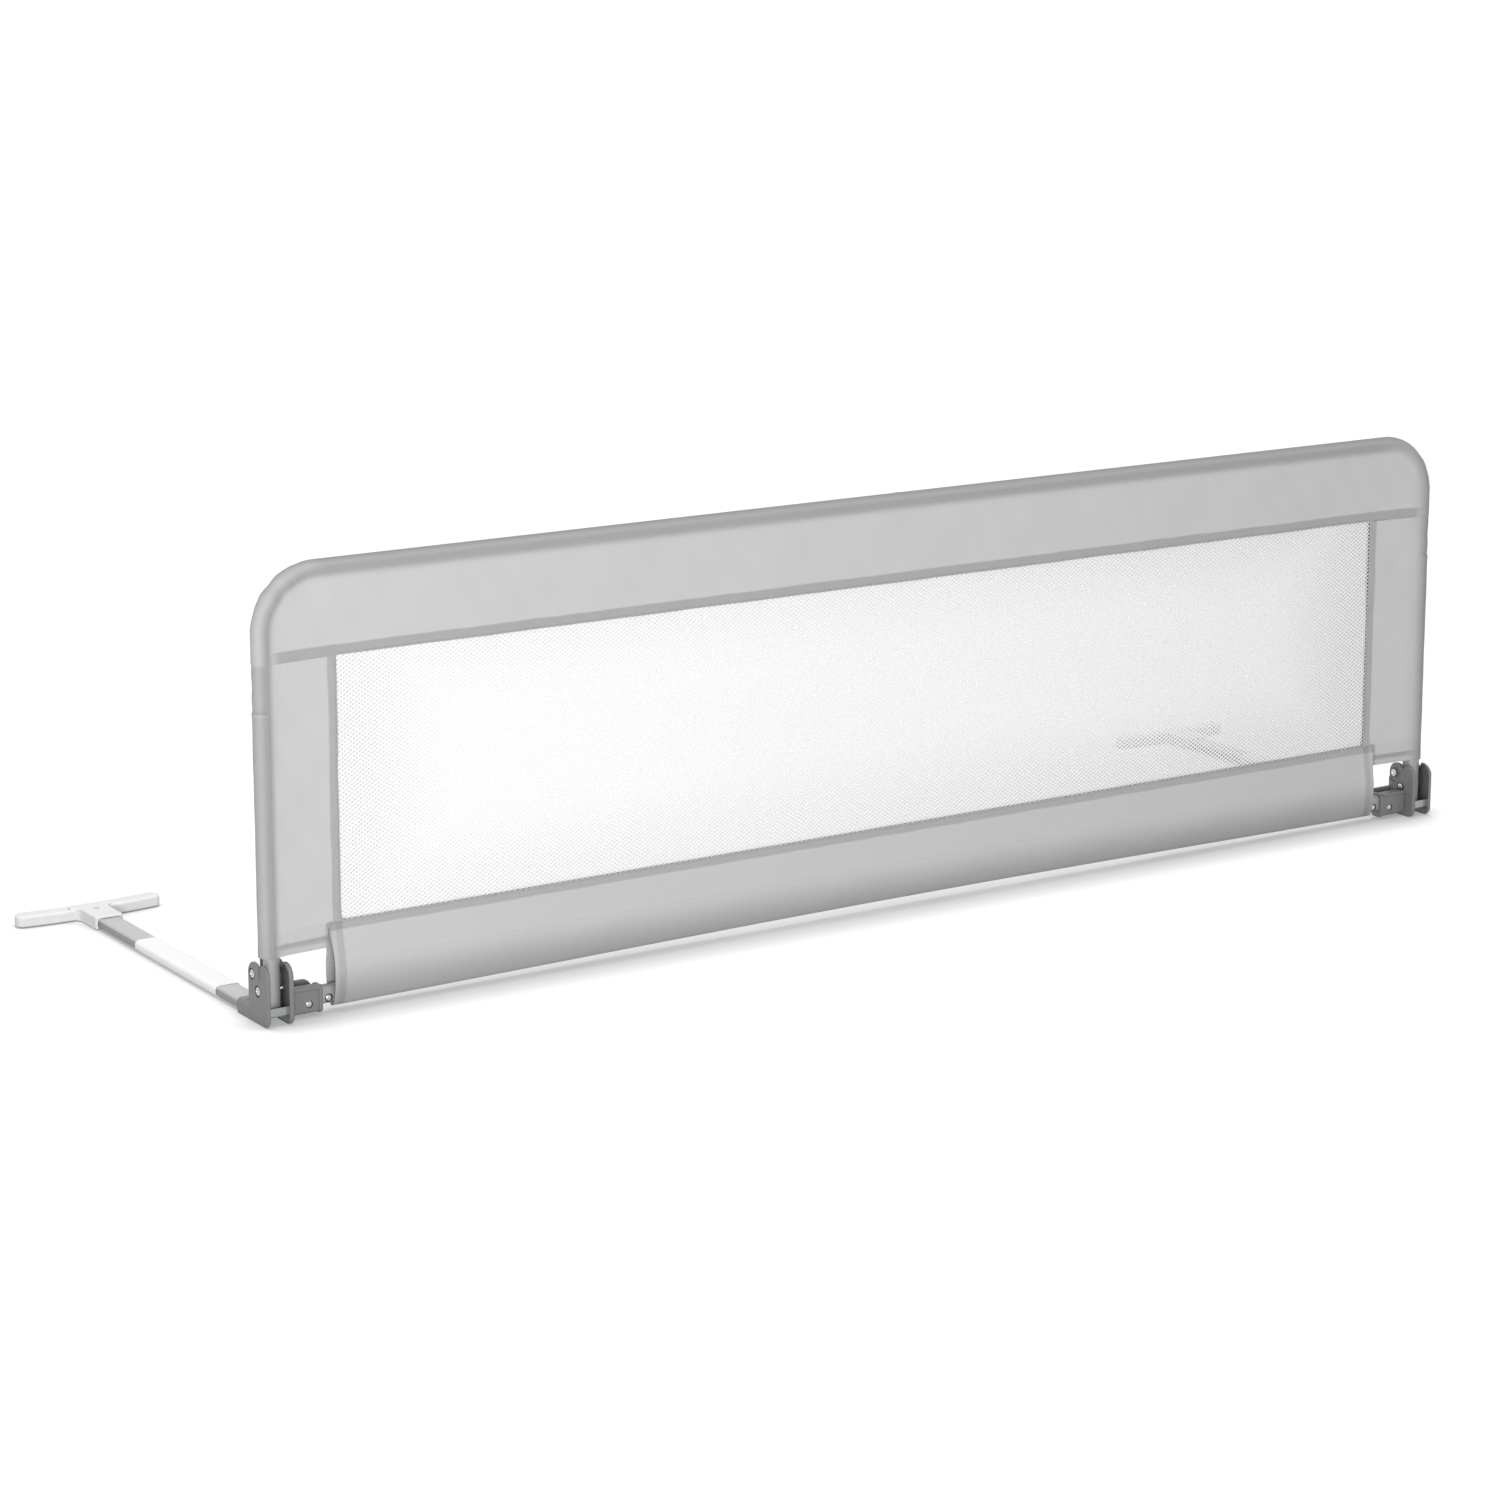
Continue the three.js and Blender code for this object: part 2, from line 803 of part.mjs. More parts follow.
function makeCrossbar() {
  const shape = crossbarOutline(new THREE.Shape(), 0);
  shape.holes.push(crossbarOutline(new THREE.Path(), -crossbarWall));
  const bar = swept(shape, crossbarStations(hingeWidth + sleeveEndWall + clearance, 0), arcFacets);
  const front = tubeDepth - crossbarThickness / 2;
  const cuts = [];
  for (const sign of [-1, 1]) {
    cuts.push(rodAlongY(
      crossbarScrewHole / 2,
      front - overrun,
      tubeDepth,
      sign * (halfLength - crossbarScrewInset),
      crossbarScrewHeight,
    ));
    cuts.push(rodAlongY(
      screwShankDiameter / 2 + clearance,
      front - overrun,
      tubeDepth,
      sign * (halfLength - sleeveScrewInset),
      sleeveScrewHeight,
    ));
  }
  return shaped(bar, [], cuts);
}

function makeCrossbarInsert() {
  const start = hingeWidth + sleeveEndWall + 2 * clearance;
  const grow = -crossbarWall - clearance - ovalFlat;
  const insert = alongX(crossbarOutline(new THREE.Shape(), grow), start, start + insertLength)
    .translate(0, tubeDepth, crossbarCentre);
  const shank = screwShankDiameter / 2 + clearance;
  const reach = insertFront + screwLength;
  return shaped(insert, [], [
    rodAlongY(shank, insertFront - overrun, reach, sleeveScrewInset, sleeveScrewHeight),
    rodAlongY(shank, insertFront - overrun, reach, crossbarScrewInset, crossbarScrewHeight),
  ]);
}

function makeScrew(seat, reach, x, z) {
  const head = screwHeadDiameter / 2;
  const shank = screwShankDiameter / 2;
  const profile = [
    ...domeProfile(head, seat - screwHeadHeight / 2, screwHeadHeight / 2),
    [head, seat],
    [shank, seat],
    [shank, reach],
    [0, reach],
  ];
  return turned(profile, boltFacets).rotateX(-Math.PI / 2).translate(x, 0, z);
}

function makeSleeveScrew() {
  const front = tubeDepth - crossbarThickness / 2 - clearance - sleeveWall;
  const seat = front + sleeveScrewRecessDepth - clearance;
  return makeScrew(seat, insertFront + screwLength - clearance, sleeveScrewInset, sleeveScrewHeight);
}

function makeCrossbarScrew() {
  const seat = insertFront - clearance;
  return makeScrew(seat, insertFront + screwLength - clearance, crossbarScrewInset, crossbarScrewHeight);
}

function buttonBoreAt(radius) {
  return rodAlongZ(radius, legCentreHeight, footSocketTop + overrun, legInset, buttonDistance);
}

function makeLegTube() {
  const start = socketStart + socketEndWall + clearance;
  return shaped(
    alongY(hollowLegOutline(0, -legWall), start, legEnd),
    [],
    [buttonBoreAt(buttonDiameter / 2 + clearance)],
  );
}

function makeLegLabel() {
  return alongY(hollowLegOutline(labelGap + labelThickness, labelGap), labelStart, labelEnd);
}

// Plan outline of the foot bar, whose tips sweep back from the rail
function footOutline() {
  const reach = footLength / 2 - footTipRadius;
  const arcRadius = (reach * reach) / (2 * footSweep);
  const half = Math.asin(reach / arcRadius);
  const centreY = footCentre + arcRadius;
  const front = arcRadius + footDepth / 2;
  const back = arcRadius - footDepth / 2;
  const down = -Math.PI / 2;
  const shape = new THREE.Shape();
  shape.absarc(legInset, centreY, front, down - half, down + half, false);
  for (const side of [1, -1]) {
    const angle = down + side * half;
    const outwardX = Math.cos(angle + side * Math.PI / 2);
    const outwardY = Math.sin(angle + side * Math.PI / 2);
    const order = side > 0 ? [1, -1] : [-1, 1];
    for (const across of order) {
      const radius = arcRadius + across * (footDepth / 2 - footTipRadius);
      const tipX = legInset + radius * Math.cos(angle);
      const tipY = centreY + radius * Math.sin(angle);
      const start = Math.atan2(outwardY, outwardX) + (order[0] === across ? -1 : 0) * Math.PI / 2;
      shape.absarc(tipX, tipY, footTipRadius, start, start + Math.PI / 2, false);
    }
    if (side > 0) {
      shape.absarc(legInset, centreY, back, down + half, down - half, true);
    }
  }
  shape.closePath();
  return shape;
}

// Plan outline of the foot's socket, which widens into the bar in two round fillets
function footSocketOutline() {
  const half = legWidth / 2 + clearance + footSocketWall;
  const front = footSocketStart;
  const root = footCentre - footDepth / 2 + footEdge;
  const shape = new THREE.Shape();
  shape.moveTo(legInset - half, front);
  shape.lineTo(legInset + half, front);
  shape.absarc(legInset + half + footFillet, root - footFillet, footFillet, Math.PI, Math.PI / 2, true);
  shape.lineTo(legInset + half + footFillet, footCentre);
  shape.lineTo(legInset - half - footFillet, footCentre);
  shape.absarc(legInset - half - footFillet, root - footFillet, footFillet, Math.PI / 2, 0, true);
  shape.closePath();
  return shape;
}

function makeFoot() {
  const bar = alongZ(footOutline(), 0, footHeight, footEdge);
  const socket = alongZ(footSocketOutline(), clearance, footSocketTop, plateEdge);
  const bore = alongY(legOutline(clearance), footSocketStart - overrun, legEnd + clearance);
  return shaped(bar, [socket], [bore, buttonBoreAt(buttonDiameter / 2 + clearance)]);
}

function makeSnapButton() {
  const pin = buttonDiameter / 2;
  const flange = buttonFlangeDiameter / 2;
  const flangeTop = legLift + legHeight - legWall - clearance;
  const flangeLow = flangeTop - buttonFlange;
  const top = footSocketTop + buttonProud;
  const dome = domeProfile(pin, -(top - buttonDome), buttonDome).map(([radius, height]) => [radius, -height]);
  const profile = [...dome, [pin, flangeTop], [flange, flangeTop], [flange, flangeLow], [0, flangeLow]];
  return turned(profile.reverse(), boltFacets).translate(legInset, buttonDistance, 0);
}

// A folded leaf spring that lies in the leg tube under the button
function makeButtonSpring() {
  const low = legLift + legWall + clearance;
  const high = legLift + legHeight - legWall - 2 * clearance - buttonFlange;
  const end = buttonDistance + buttonFlangeDiameter / 2;
  const bend = end - springLength;
  const middle = (low + high) / 2;
  const leaf = polygon([
    [end, low],
    [end, low + springSteel],
    [bend + 2 * springSteel, low + springSteel],
    [bend + springSteel, middle],
    [bend + 2 * springSteel, high - 2 * springSteel],
    [end, high - springSteel],
    [end, high],
    [bend + springSteel, high - springSteel],
    [bend, middle],
    [bend + springSteel, low],
  ]);
  return alongX(leaf, legInset - springWidth / 2, legInset + springWidth / 2);
}

// Side band of the cover: a sleeve round the upright and a flat band to the window
function makeSideBand() {
  const top = windowTop - clearance;
  const seam = windowBottom + clearance;
  const inner = windowInset - clearance;
  const low = bottomBandInset - clearance;
  const flat = alongY(
    polygon([
      [tubeInset, hemHeight],
      [low, hemHeight],
      [low, seam],
      [inner, seam],
      [inner, top],
      [tubeInset, top],
    ]),
    tubeDepth - bandThickness / 2,
    tubeDepth + bandThickness / 2,
  );
  return shaped(
    rodAlongZ(fabricOuter, hemHeight, top, tubeInset, tubeDepth, sleeveFacets),
    [flat],
    [rodAlongZ(fabricInner, hemHeight - overrun, top + overrun, tubeInset, tubeDepth, sleeveFacets)],
  );
}

// Stations of the whole top of the frame, from one upright over both bends to the other
function topStations(low) {
  const corner = cornerStations();
  const left = [station(tubeInset, tubeDepth, low, 0, 1), ...corner];
  const shifted = left.map(({ point, tangent }) => ({
    point: new THREE.Vector3(point.x - halfLength, point.y, point.z),
    tangent,
  }));
  const reflected = shifted.map(({ point, tangent }) => ({
    point: new THREE.Vector3(-point.x, point.y, point.z),
    tangent: new THREE.Vector3(tangent.x, 0, -tangent.z),
  })).reverse();
  return [...shifted, ...reflected];
}

// Top band of the cover: a sleeve over the top bar and both bends, and a flat band to the window
function makeTopBand() {
  const side = halfLength - tubeInset;
  const shape = new THREE.Shape();
  shape.moveTo(-side, windowTop);
  shape.lineTo(side, windowTop);
  shape.absarc(side - bendRadius, tubeCentreTop - bendRadius, bendRadius, 0, Math.PI / 2, false);
  shape.absarc(bendRadius - side, tubeCentreTop - bendRadius, bendRadius, Math.PI / 2, Math.PI, false);
  shape.closePath();
  const flat = alongY(shape, tubeDepth - bandThickness / 2, tubeDepth + bandThickness / 2, 0, bendFacets);
  const sleeve = swept(ringShape(fabricOuter, 0), topStations(windowTop + clearance), ringFacets);
  const bore = swept(ringShape(fabricInner, 0), topStations(windowTop - overrun), ringFacets);
  return shaped(sleeve, [flat], [bore]);
}

// Bottom band of the cover, two sheets that part downwards from the window's seam
function makeBottomBand() {
  const top = windowBottom - clearance;
  const high = bottomBandTopThickness / 2;
  const low = bottomBandLowThickness / 2;
  const half = halfLength - bottomBandInset;
  return alongX(polygon([
    [tubeDepth - low, bottomBandLow],
    [tubeDepth + low, bottomBandLow],
    [tubeDepth + high, top],
    [tubeDepth - high, top],
  ]), -half, half);
}

// Closed loop of the same two sheets round the crossbar
function makeCrossbarLoop() {
  const round = crossbarThickness / 2 + loopGap + fabricWall;
  const straight = crossbarHeight / 2 - crossbarThickness / 2;
  const shape = new THREE.Shape();
  shape.moveTo(loopTopThickness / 2, loopTop - crossbarCentre);
  shape.lineTo(-loopTopThickness / 2, loopTop - crossbarCentre);
  shape.lineTo(-round, straight);
  shape.absarc(0, -straight, round, Math.PI, 2 * Math.PI, false);
  shape.lineTo(round, straight);
  shape.closePath();
  shape.holes.push(crossbarOutline(new THREE.Path(), clearance));
  return swept(shape, crossbarStations(loopInset, 0), arcFacets);
}

// Net of the window, with its holes in staggered rows inside a plain border
function makeNet() {
  const half = halfLength - windowInset - clearance;
  const low = windowBottom + clearance;
  const high = windowTop - 2 * clearance;
  const pitchX = (2 * (half - netBorder)) / (netColumns + 0.5);
  const pitchZ = (high - low - 2 * netBorder) / netRows;
  const shape = polygon([
    [-half, low],
    [half, low],
    [half, high],
    [-half, high],
  ]);
  const reachX = (pitchX - netStrand) / 2;
  const reachZ = (pitchZ - netStrand) / 2;
  for (let row = 0; row < netRows; row += 1) {
    const stagger = row % 2 === 0 ? 0.5 : 1;
    for (let column = 0; column < netColumns; column += 1) {
      const x = netBorder - half + (column + stagger) * pitchX;
      const z = low + netBorder + (row + 0.5) * pitchZ;
      shape.holes.push(new THREE.Path([
        new THREE.Vector2(x + reachX, z),
        new THREE.Vector2(x, z + reachZ),
        new THREE.Vector2(x - reachX, z),
        new THREE.Vector2(x, z - reachZ),
      ]));
    }
  }
  return alongY(shape, tubeDepth - netThickness / 2, tubeDepth + netThickness / 2);
}

function piece(name, geometry, finish) {
  const mesh = new THREE.Mesh(geometry, new THREE.MeshStandardMaterial(finishes[finish]));
  mesh.name = name;
  return mesh;
}

// All pieces that come once at each end of the rail, measured from the hinge's outer face inwards
const endPieces = [
  ['outer_cover', makeOuterCover(), 'hinge'],
  ['inner_cover', makeInnerCover(), 'hinge'],
  ['u_bracket', makeBracket(), 'bracket'],
  ['pivot_bolt', makeHingeBolt(pivotBoltDiameter, tubeDepth, pivotHeight), 'steel'],
  ['pivot_nut', makeCapNut(pivotBoltDiameter, tubeDepth, pivotHeight), 'steel'],
  ['stop_bolt', makeHingeBolt(stopBoltDiameter, stopDepth, stopHeight), 'steel'],
  ['stop_nut', makeCapNut(stopBoltDiameter, stopDepth, stopHeight), 'steel'],
  ['pivot_bush', makePivotBush(), 'insert'],
  ['upright_tube', makeUprightTube(), 'frame'],
  ['tube_plug', makeTubePlug(), 'insert'],
  ['corner_tube', makeCornerTube(), 'frame'],
  ['crossbar_insert', makeCrossbarInsert(), 'insert'],
  ['sleeve_screw', makeSleeveScrew(), 'steel'],
  ['crossbar_screw', makeCrossbarScrew(), 'steel'],
  ['leg_tube', makeLegTube(), 'leg'],
  ['leg_label', makeLegLabel(), 'label'],
  ['foot', makeFoot(), 'foot'],
  ['snap_button', makeSnapButton(), 'steel'],
  ['button_spring', makeButtonSpring(), 'steel'],
  ['side_band', makeSideBand(), 'fabric'],
];

const rail = new THREE.Group();

for (const side of ['left', 'right']) {
  const end = new THREE.Group();
  end.position.x = side === 'left' ? -halfLength : halfLength;
  for (const [name, geometry, finish] of endPieces) {
    end.add(piece(`${side}_${name}`, side === 'left' ? geometry : mirrored(geometry), finish));
  }
  rail.add(end);
}

rail.add(
  piece('crossbar', makeCrossbar(), 'frame'),
  piece('top_joiner', makeTopJoiner(), 'frame'),
  piece('top_band', makeTopBand(), 'fabric'),
  piece('bottom_band', makeBottomBand(), 'fabric'),
  piece('crossbar_loop', makeCrossbarLoop(), 'fabric'),
  piece('window_net', makeNet(), 'net'),
);

// The origin is on the floor, halfway between the plates' front edge and the tips of the feet
const bounds = new THREE.Box3().setFromObject(rail);
rail.position.y = -(bounds.min.y + bounds.max.y) / 2;

const part = new THREE.Group();
part.add(rail);

export default part;
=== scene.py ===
# A folding bed guard rail: a bent tube frame in a fabric cover, on two hinges with flat legs.
# Metres, X along the rail, +Y towards the bed, Z up from the floor.
import math

import bmesh
import bpy
import numpy as np
from mathutils import Matrix, Vector


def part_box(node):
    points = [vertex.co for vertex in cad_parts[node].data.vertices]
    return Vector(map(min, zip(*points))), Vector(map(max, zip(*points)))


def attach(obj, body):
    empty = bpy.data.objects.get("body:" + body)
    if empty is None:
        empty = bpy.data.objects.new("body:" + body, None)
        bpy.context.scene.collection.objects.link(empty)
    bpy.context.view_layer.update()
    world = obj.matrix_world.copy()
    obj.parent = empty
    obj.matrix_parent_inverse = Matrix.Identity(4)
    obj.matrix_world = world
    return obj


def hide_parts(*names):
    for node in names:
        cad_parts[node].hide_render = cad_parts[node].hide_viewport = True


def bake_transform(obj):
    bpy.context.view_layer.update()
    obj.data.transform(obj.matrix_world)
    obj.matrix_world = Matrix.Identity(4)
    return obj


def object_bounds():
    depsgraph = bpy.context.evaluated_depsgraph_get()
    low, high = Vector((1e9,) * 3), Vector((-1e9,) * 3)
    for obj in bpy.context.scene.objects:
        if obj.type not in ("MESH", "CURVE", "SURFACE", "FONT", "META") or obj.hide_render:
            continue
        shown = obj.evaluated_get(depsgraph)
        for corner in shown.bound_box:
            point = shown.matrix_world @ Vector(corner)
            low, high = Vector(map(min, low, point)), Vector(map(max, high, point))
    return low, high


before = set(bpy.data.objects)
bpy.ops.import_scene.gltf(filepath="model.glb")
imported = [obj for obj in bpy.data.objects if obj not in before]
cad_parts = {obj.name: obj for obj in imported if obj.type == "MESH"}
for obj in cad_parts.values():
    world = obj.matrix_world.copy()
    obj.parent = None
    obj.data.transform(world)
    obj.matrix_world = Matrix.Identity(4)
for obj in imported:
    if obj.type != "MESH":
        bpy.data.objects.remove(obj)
cad_low, cad_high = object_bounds()

# Camera
# It stands left of the guard at chest height and looks down on it a little. Its place, turn and lens come
# from the guard's long edges, uprights and floor line.
CAMERA_PLACE = Vector((-2.3066, -3.4696, 1.1388))
CAMERA_YAW = math.radians(33.109)
CAMERA_PITCH = math.radians(11.401)
CAMERA_LENS_MM = 92.88
CAMERA_SHIFT = -0.1


def given(made, **values):
    """The same thing with those values set, in their order."""
    for name, value in values.items():
        setattr(made, name, value)
    return made


def surface(name, points, faces):
    """A smooth mesh of those points and faces."""
    mesh = bpy.data.meshes.new(name)
    mesh.from_pydata(points, [], faces)
    mesh.polygons.foreach_set("use_smooth", np.ones(len(faces), bool))
    return mesh


def added(name, data):
    """A new object in the scene."""
    made = bpy.data.objects.new(name, data)
    bpy.context.scene.collection.objects.link(made)
    return made


camera_data = given(bpy.data.cameras.new("camera"), sensor_width=36, lens=CAMERA_LENS_MM, shift_y=CAMERA_SHIFT)
camera = added("camera", given(camera_data, clip_start=0.05, clip_end=60))
camera.location = CAMERA_PLACE
camera.rotation_euler = (math.pi / 2 - CAMERA_PITCH, 0, -CAMERA_YAW)
bpy.context.scene.camera = camera


# Floor and light
# A plain white floor in an even pale surrounding, with a large soft lamp low in front on the left. A
# high one throws the rail's shadow almost straight down, and painted shadow darkens the floor close to the
# rail. The cloth, net and thread don't receive the high lamp's light.
def operator(operation, swapped=False):
    """A method that adds the Math node of this operation on the wire and another value."""
    return lambda wire, other: wire.maths(operation, *((other, wire) if swapped else (wire, other)))


class Wire:
    """A socket of a node tree. Sums on it add Math nodes, and node() adds any other node."""

    __add__ = __radd__ = operator("ADD")
    __mul__ = __rmul__ = operator("MULTIPLY")
    __sub__ = operator("SUBTRACT")
    __rsub__ = operator("SUBTRACT", swapped=True)
    __pow__ = operator("POWER")
    __lt__ = operator("LESS_THAN")
    __gt__ = operator("GREATER_THAN")
    larger = operator("MAXIMUM")

    def __init__(self, tree, socket=None):
        self.tree = tree
        self.socket = socket

    def node(self, kind, settings=None, inputs=None, out=0):
        """The output of a new node, whose settings are made first and its inputs second."""
        made = given(self.tree.nodes.new(kind), **(settings or {}))
        for key, value in (inputs or {}).items():
            if isinstance(value, Wire):
                self.tree.links.new(value.socket, made.inputs[key])
            elif isinstance(value, tuple) and made.inputs[key].type == "RGBA":
                made.inputs[key].default_value = (*value, 1)
            else:
                made.inputs[key].default_value = value
        return Wire(self.tree, made.outputs[out])

    def maths(self, operation, *values):
        return self.node("ShaderNodeMath", {"operation": operation}, dict(enumerate(values)))

    def step(self, low, high):
        """0 below low and 1 above high, with a smooth rise between them."""
        return self.node(
            "ShaderNodeMapRange",
            {"interpolation_type": "SMOOTHSTEP"},
            {"Value": self, "From Min": low, "From Max": high},
        )

    def within(self, rise, fall):
        """1 between two ranges, with a smooth rise over the first and a smooth fall over the second."""
        return self.step(*rise) * (1 - self.step(*fall))

    def near(self, place, core, reach):
        """1 as far as core from a place and 0 beyond reach, smooth between them."""
        return 1 - (self - place).size().step(core, reach)

    def sine(self):
        return self.maths("SINE", self)

    def size(self):
        return self.maths("ABSOLUTE", self)

    def parts(self):
        """The X, Y and Z of this vector."""
        split = self.node("ShaderNodeSeparateXYZ", None, {0: self})
        return [Wire(self.tree, split.socket.node.outputs[axis]) for axis in "XYZ"]

    def noise(self, scale, detail=2.0, stretch=(1, 1, 1)):
        """Smooth noise from 0 to 1 at this place, stretched along the axes."""
        place = self.node("ShaderNodeMapping", None, {"Vector": self, "Scale": stretch})
        return self.node("ShaderNodeTexNoise", None, {"Vector": place, "Scale": scale, "Detail": detail})

    def bump(self, strength, distance):
        """The surface's direction where this value is its relief."""
        return self.node("ShaderNodeBump", None, {"Strength": strength, "Distance": distance, "Height": self})

    def tint(self, colour):
        """The colour, lighter or darker by this value."""
        grey = self.node("ShaderNodeCombineColor", None, {0: self, 1: self, 2: self})
        settings = {"data_type": "RGBA", "blend_type": "MULTIPLY"}
        return self.node("ShaderNodeMix", settings, {0: 1.0, 6: grey, 7: colour}, 2)


def material(name, colour, roughness, **plain):
    """A new material, its Principled shader with those plain values, and its object coordinates."""
    made = bpy.data.materials.new(name)
    made.use_nodes = True
    shader = made.node_tree.nodes["Principled BSDF"]
    shader.inputs["Base Color"].default_value = (*colour, 1)
    shader.inputs["Roughness"].default_value = roughness
    for key, value in plain.items():
        shader.inputs[key.replace("_", " ")].default_value = value
    return made, shader, Wire(made.node_tree).node("ShaderNodeTexCoord", out="Object")


def feed(shader, **wires):
    """Links wires into the shader's sockets of those names."""
    for key, wire in wires.items():
        wire.tree.links.new(wire.socket, shader.inputs[key.replace("_", " ")])


def plainly_seen(wire):
    """1 for rays of the camera and those that a surface mirrors or lets through, 0 for the rest."""
    camera, glossy, transmission = (
        wire.node("ShaderNodeLightPath", out=f"Is {kind} Ray") for kind in ("Camera", "Glossy", "Transmission")
    )
    return camera.larger(glossy).larger(transmission)


SQUARE = ((-1, -1), (1, -1), (1, 1), (-1, 1))
FLOOR_SIDE = 90.0
FLOOR_WHITE = 0.5
FLOOR_LIFT = 0.56
FLOOR_PAINTED_SHADOW_REACH = 0.1
AMBIENT = 0.47
HIGH_LAMP_TILT = math.radians(2.5)
HIGH_LAMP_SPREAD = math.radians(14)
HIGH_LAMP_STRENGTH = 1.6
FRONT_LAMP_PLACE = Vector((-2.5, -4.0, 0.75))
FRONT_LAMP_AIM = Vector((-0.05, -0.2, 0.24))
FRONT_LAMP_SIDE = 1.3
FRONT_LAMP_POWER = 112.0

half_floor = FLOOR_SIDE / 2
floor_corners = [(x * half_floor, y * half_floor, 0) for x, y in SQUARE]
floor = added("floor", surface("floor", floor_corners, [(0, 1, 2, 3)]))
floor_finish, floor_shader, floor_place = material(
    "floor_white", (FLOOR_WHITE,) * 3, 0.9, Specular_IOR_Level=0.0, Emission_Strength=1.0
)
# Painted shadow: the floor's white lift drops where ambient occlusion finds the rail close by.
painted_shade_openness = floor_place.node("ShaderNodeAmbientOcclusion", None, {"Distance": FLOOR_PAINTED_SHADOW_REACH}, "AO")
floor_lift_and_painted_shadow = plainly_seen(floor_place) * (0.5 + painted_shade_openness.step(0.56, 0.92) * 0.5) * FLOOR_LIFT
feed(floor_shader, Emission_Color=floor_lift_and_painted_shadow.tint((1, 1, 1)))
floor.data.materials.append(floor_finish)

world = bpy.data.worlds.new("surround")
bpy.context.scene.world = world
world.use_nodes = True
background = world.node_tree.nodes["Background"]
background.inputs["Color"].default_value = (1, 1, 1, 1)
white_where_seen = plainly_seen(Wire(world.node_tree)) * (1 - AMBIENT) + AMBIENT
world.node_tree.links.new(white_where_seen.socket, background.inputs["Strength"])

sun = given(bpy.data.lights.new("high_lamp", "SUN"), energy=HIGH_LAMP_STRENGTH, angle=HIGH_LAMP_SPREAD)
high_lamp = added("high_lamp", sun)
high_lamp.rotation_euler = (-HIGH_LAMP_TILT, 0, 0)
high_lamp.location = (0, 1, 3)
left_unlit = bpy.data.collections.new("left_unlit_by_high_lamp")
high_lamp.light_linking.receiver_collection = left_unlit

disk = given(bpy.data.lights.new("front_lamp", "AREA"), shape="DISK", size=FRONT_LAMP_SIDE)
front_lamp = added("front_lamp", given(disk, energy=FRONT_LAMP_POWER))
front_lamp.location = FRONT_LAMP_PLACE
front_lamp.rotation_euler = (FRONT_LAMP_AIM - FRONT_LAMP_PLACE).to_track_quat("-Z", "Y").to_euler()

bpy.context.scene.view_settings.view_transform = "Standard"


# Top band of the cover
# Plain woven polyester, one cloth that runs up the front, over the top tube and down the back, sewn to
# the side bands and to the net. Its seam allowances lie inside and show as darker strips.
def joined_grid(name, points, closed_along=False, closed_across=False):
    """A mesh whose corners are a grid of rows by columns, each joined to its neighbours by faces."""
    rows, columns = points.shape[:2]
    number = np.arange(rows * columns).reshape(rows, columns)
    if closed_along:
        number = np.concatenate([number, number[:1]], 0)
    if closed_across:
        number = np.concatenate([number, number[:, :1]], 1)
    faces = np.stack([number[:-1, :-1], number[:-1, 1:], number[1:, 1:], number[1:, :-1]], -1).reshape(-1, 4)
    return surface(name, points.reshape(-1, 3), faces)


def tidied(mesh, near=1e-6, mirror=False):
    """Merges points that lie on each other, mirrors the mesh in X if asked, and turns its faces outwards."""
    shape = bmesh.new()
    shape.from_mesh(mesh)
    bmesh.ops.remove_doubles(shape, verts=shape.verts, dist=near)
    bmesh.ops.dissolve_degenerate(shape, edges=shape.edges, dist=near)
    if mirror:
        bmesh.ops.transform(shape, matrix=Matrix.Scale(-1, 4, (1, 0, 0)), verts=shape.verts)
    bmesh.ops.recalc_face_normals(shape, faces=shape.faces)
    shape.to_mesh(mesh)
    shape.free()
    return mesh


def placed(name, mesh, finish, body, nodes):
    """A new piece of that mesh and finish, which rides on a body and stands for CAD nodes."""
    made = added(name, mesh)
    mesh.materials.clear()
    mesh.materials.append(finish)
    if body:
        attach(made, body)
    if nodes:
        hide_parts(*nodes)
    return made


def thickened(piece, thickness):
    """Gives a cloth its thickness, half on each side, and keeps it out of the high lamp's light."""
    given(piece.modifiers.new("thickness", "SOLIDIFY"), thickness=thickness, offset=0)
    given(piece.modifiers.new("normals", "WEIGHTED_NORMAL"), weight=100)
    left_unlit.objects.link(piece)


upright_low, upright_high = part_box("left_upright_tube")
corner_low, corner_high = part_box("left_corner_tube")
window_low, window_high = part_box("window_net")
hem_low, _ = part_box("left_side_band")
loop_low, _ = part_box("crossbar_loop")
_, band_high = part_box("bottom_band")

TUBE_RADIUS = (upright_high.x - upright_low.x) / 2
TUBE_X = -(upright_high.x + upright_low.x) / 2
RAIL_Y = (upright_high.y + upright_low.y) / 2
TUBE_TOP = corner_high.z - TUBE_RADIUS
TUBE_JOINT = corner_low.z
WINDOW_TOP = window_high.z + 0.002
WINDOW_LOW = window_low.z - 0.0003
WINDOW_X = window_high.x + 0.0003
HEM_LOW = hem_low.z
BAND_END_X = band_high.x

BEND_RADIUS = 0.057
BEND_X = TUBE_X - BEND_RADIUS
BEND_Z = TUBE_TOP - BEND_RADIUS
CLOTH = 0.0006
SLEEVE_RADIUS = TUBE_RADIUS + 0.0011
SLEEVE_STEPS = -SLEEVE_RADIUS * np.cos(np.linspace(0, math.pi / 2, 15))
SLEEVE_DEPTHS = np.sqrt(SLEEVE_RADIUS**2 - SLEEVE_STEPS**2 + 1e-12)
SEAM_HALF = 0.0013
TENT_FOOT = 0.0064
TENT_BROW = SLEEVE_RADIUS - SEAM_HALF - TENT_FOOT
TENT_FADE = 0.0075
STRIP_WIDTH = 0.0108
HEM_WIDTH = 0.011
STITCHED_RELIEF = 0.00035
RIPPLES = ((0.00048, 37, 21, 0), (0.00038, 61, -55, 1.3), (0.00022, 143, 97, 0.4), (0.00015, 31, -190, 2.1))


def waves(x, z, rows):
    """A sum of sines, each given by its height, its turns along X and Z and its start."""
    return sum(height * np.sin(x * along + z * up + start) for height, along, up, start in rows)


